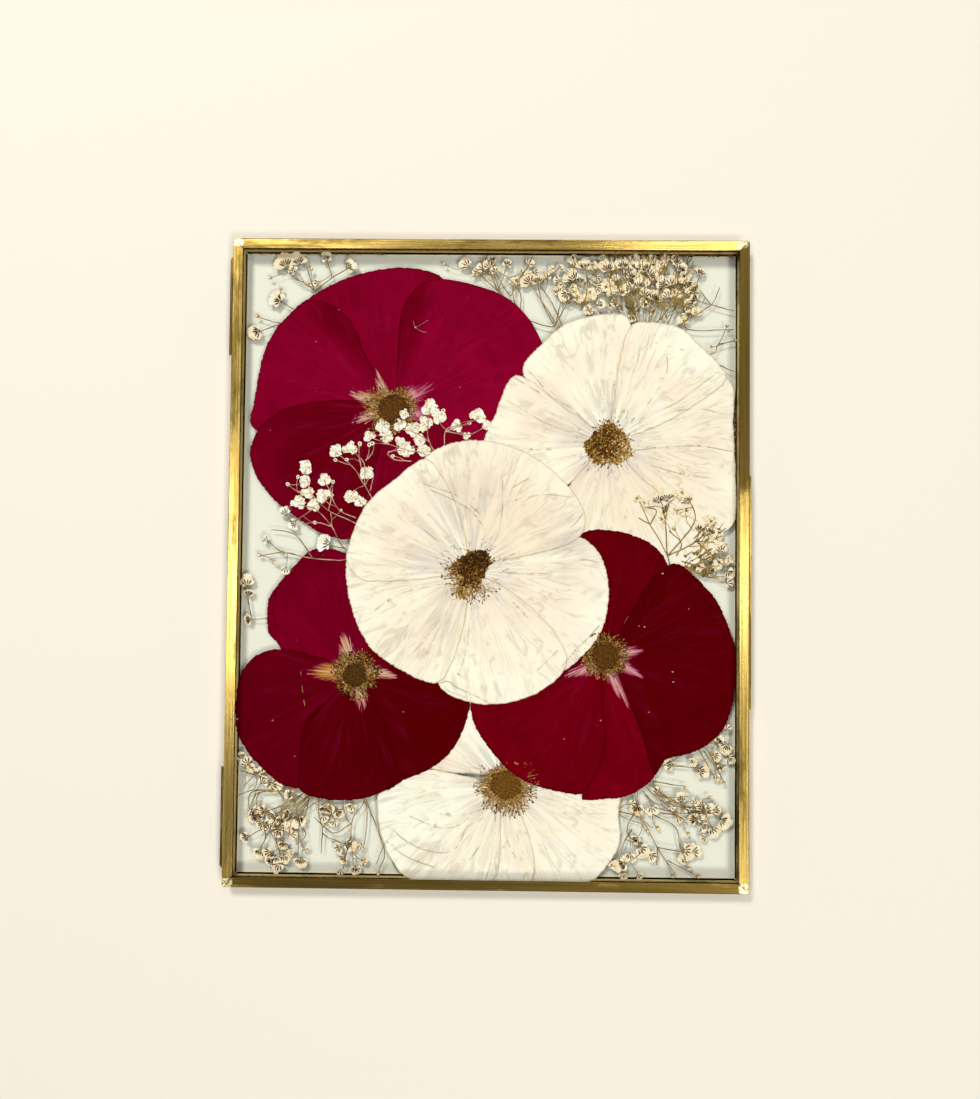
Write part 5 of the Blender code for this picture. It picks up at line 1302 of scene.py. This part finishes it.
def laySprig(name, materials):
    sprig = sprigs[name]
    chance = random.Random(name)
    heap = newHeap()
    petal = floretPetal()
    crumb = ball()
    bed = soften(spread(ground, 1), 2)
    paths = []
    for stem in sprig["stems"]:
        run = smoothRun(stem, 6)
        side = np.random.RandomState(len(paths)).uniform(-0.12, 0.12, run.shape)
        side[0] = side[-1] = 0
        paths.append(run + side)
    stalks = [(path, sprigLook["stem"]) for path in paths]
    knots = np.vstack(paths)
    ends = np.array([path[-1] for path in paths])
    for x, y, radius, *kind in sprig["florets"]:
        spot = np.array([x, y], float)
        gaps = np.hypot(*(ends - spot).T)
        if gaps.min() < radius * 0.9:
            path = paths[int(gaps.argmin())]
            facing = math.atan2(*(path[-1] - path[-4])[::-1])
        else:
            # a short twig of its own, from the nearest place on a stem
            apart = np.hypot(*(knots - spot).T)
            near = apart.min() < sprigLook["twigReach"]
            wanted = sprigLook["twigReach"] + radius if near else 0
            root = knots[int(abs(apart - wanted).argmin())]
            across = np.array([spot[1] - root[1], root[0] - spot[0]])
            middle = (root + spot) / 2 + across * chance.uniform(-0.18, 0.18)
            twig = smoothRun([root, middle, spot], 4)
            stalks.append((twig, sprigLook["twig"]))
            facing = math.atan2(*(twig[-1] - twig[-3])[::-1])
        red = name in sprigsOnRed and sample(redness, spot[None])[0] > 0.5
        base = float(np.mean(sample(bed, fiveRound(spot, radius * 0.5))))
        if radius < budLook["largest"]:
            layBud(heap, crumb, spot, radius, facing, base, red)
        else:
            openness = "plain" if red else "edged" if chance.random() < sprig.get("open", 0.1) else ""
            openness = kind[0] if kind else openness
            layFloret(heap, petal, crumb, spot, radius * (1.1 if red else 1), facing, base, chance, openness)
    for x, y, wide, high, count in sprig.get("brush", []):
        # the many short stalks under a dense head
        for _ in range(count):
            foot = np.array([chance.uniform(x - wide, x + wide), chance.uniform(y - high, y + high)])
            turn = math.atan2(foot[1] - sprig["stems"][0][0][1], foot[0] - sprig["stems"][0][0][0])
            turn += chance.uniform(-0.35, 0.35)
            run = foot + np.linspace(0, chance.uniform(2, 5), 4)[:, None] * heading(turn)
            stalks.append((run, chance.uniform(*sprigLook["shortStalk"])))
            if chance.random() < sprigLook["leafed"]:
                shape = crumb[0] * [chance.uniform(0.5, 1.2), chance.uniform(0.3, 0.6), 0.1]
                spot = (*foot, sample(bed, foot[None])[0] + 0.08)
                addShape(heap, shape, crumb[1], 0.0, 2, chance.uniform(0, 3), spot)
    for run, radius in stalks:
        heights = sample(bed, run) + radius
        taper = np.linspace(1.0, 0.7, len(run)) * radius
        stain = np.repeat(sample(redness, run), 5)
        addShape(heap, *tube(np.column_stack([run, heights]), taper), stain, 2)
    heapObject(name + "_florets", heap, materials, "back_leaf", "sprig", name)
    for run, radius in stalks:
        raiseGround(run, radius, sample(bed, run) + 2 * radius)
    for x, y, radius, *_ in sprig["florets"]:
        raiseGround([(x, y)], radius, [sample(bed, np.array([[x, y]], float))[0] + 0.5])
    print(name, "laid,", len(heap["faces"]), "faces")


# Old adhesive, loose fibres and dust

crustLook = {"step": 0.8, "thick": 0.12, "under": 0.15, "gap": 0.03}
crusts = {  # along the bar from and to, how far it reaches in from the back leaf's lip, which bar
    "crust_top_left": (-97.5, -43, 1.3, "top"), "crust_top_right": (38, 97.5, 1.5, "top"),
    "crust_right": (17, 63, 1.5, "right"), "crust_left": (-97, -60, 0.8, "left"),
    "crust_low_right": (-60, -20, 0.7, "right"),
}
fibres = [[(-31, 96.4), (-30, 94), (-28, 92.6), (-25.5, 92)], [(-30, 94), (-27.5, 95.4), (-25, 97)],
          [(54.5, -24), (56, -21)], [(13, 24), (17, 26), (18, 29)], [(-46, -12), (-43, -13), (-41, -11)]]
dust = [(-30, 94, 0.45), (-99, -63.5, 0.4), (-85, -64, 0.4), (69.5, -4, 0.4), (62.5, -25.3, 0.4),
        (60.3, -25, 0.3), (73.7, -43, 0.4), (74, -47, 0.4), (64.3, -59, 0.35), (45.3, -62.5, 0.35),
        (-70, 88, 0.25), (-61, 101, 0.25), (-12, 70, 0.25), (-88, 52, 0.3), (-76, -78, 0.25),
        (-33, -60, 0.25), (31, -70, 0.3), (80, -18, 0.3)]


def crustMaterial():
    # old adhesive and foil darkened under the bar: brown, matt and crumbly
    material, add = newMaterial("darkened foil edge")
    grit = add("TexNoise", {"Vector": add("TexCoord", out="Object"), "Scale": 900.0, "Detail": 5.0})
    colour = layerColours(add, "#2e1504", [("#6a4415", grit, 0.4, 0.62)])
    endMaterial(add, colour, 0.7, grit, (0.6, 0.1), Metallic=0.3)
    return material


def dustMaterial():
    # pollen and glass dust: pale, dry specks
    material, add = newMaterial("pale dust and fibre")
    grit = add("TexNoise", {"Vector": add("TexCoord", out="Object"), "Scale": 1500.0, "Detail": 2.0})
    endMaterial(add, layerColours(add, "#e9c9c0", [("#c07f8c", grit, 0.4, 0.6)]), 0.9)
    return material


def layDetails():
    crust, pale = crustMaterial(), dustMaterial()
    for name, (start, stop, reach, bar) in crusts.items():
        bpy.ops.object.select_all(action="DESELECT")
        cuts = int((stop - start) / crustLook["step"])
        bpy.ops.mesh.primitive_grid_add(x_subdivisions=cuts, y_subdivisions=2, size=1)
        strip = bpy.context.object
        strip.name = name
        chance = random.Random(name)
        edge = [reach * (0.35 + 0.65 * chance.random()) * (0.25 if chance.random() < 0.12 else 1)
                for _ in range(cuts + 2)]
        for vert in strip.data.vertices:
            along = vert.co.x + 0.5
            inward = edge[round(along * cuts)] * (0.5 - vert.co.y)
            run = start + along * (stop - start)
            level = (paneTop + crustLook["gap"]) * mm
            if bar == "top":
                vert.co = (run * mm, (lipInner[1] + crustLook["under"] - inward) * mm, level)
            else:
                side = 1 if bar == "right" else -1
                vert.co = (side * (lipInner[0] + crustLook["under"] - inward) * mm, run * mm, level)
        strip.data.update()
        if strip.data.polygons[0].normal.z < 0:
            strip.data.flip_normals()
        modify(strip, "SOLIDIFY", thickness=crustLook["thick"] * mm, offset=1)
        paint(strip, crust)
        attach(strip, "back_leaf")

    heap = newHeap()
    crumb = ball()
    for x, y, radius in dust:
        level = sample(ground, np.array([[x, y]], float))[0]
        addShape(heap, crumb[0] * [radius, radius * 0.7, 0.06] + [x, y, level + 0.04], crumb[1], 0.5)
    for fibre in fibres:
        run = smoothRun(fibre)
        addShape(heap, *tube(np.column_stack([run, sample(ground, run) + 0.05]), [0.05] * len(run), 4), 0.5)
    heapObject("dust_and_fibres", heap, [pale], "back_leaf", "stamens")
    print("details laid")


# Everything in the order it was laid

layingOrder = ["top_left_sprig", "top_middle_sprig", "top_right_sprig", "bottom_left_sprig",
               "bottom_right_sprig", "bottom_white_rose", "top_red_rose", "top_white_rose",
               "upper_middle_sprig", "middle_left_sprig", "right_sprig", "left_red_rose",
               "right_red_rose", "left_sprig", "middle_white_rose"]

buildStudio()
dressFrame()
sepals = stemMaterial("dark sepals", "#3f1f04", "#241003", "#3f1f04", "#241003")
stalks = stemMaterial("dried stem", "#ae8f52", "#765c28", "#dcb49e", "#a8745f")
paleFlorets = floretMaterial("dried floret, cream", "#fdf0d4", "#f8e2bc", "#e8c690", "#9c7a3e")
whiteFlorets = floretMaterial("dried floret, white", "#fffef4", "#f8ecd2", "#e0ca9e", "#98794a")
stamens = stamenMaterial()
for name in layingOrder:
    if name in roses:
        layRose(name)
        layEye(name, stamens)
    else:
        laySprig(name, [whiteFlorets if name in sprigsOnRed else paleFlorets, sepals, stalks])

layDetails()
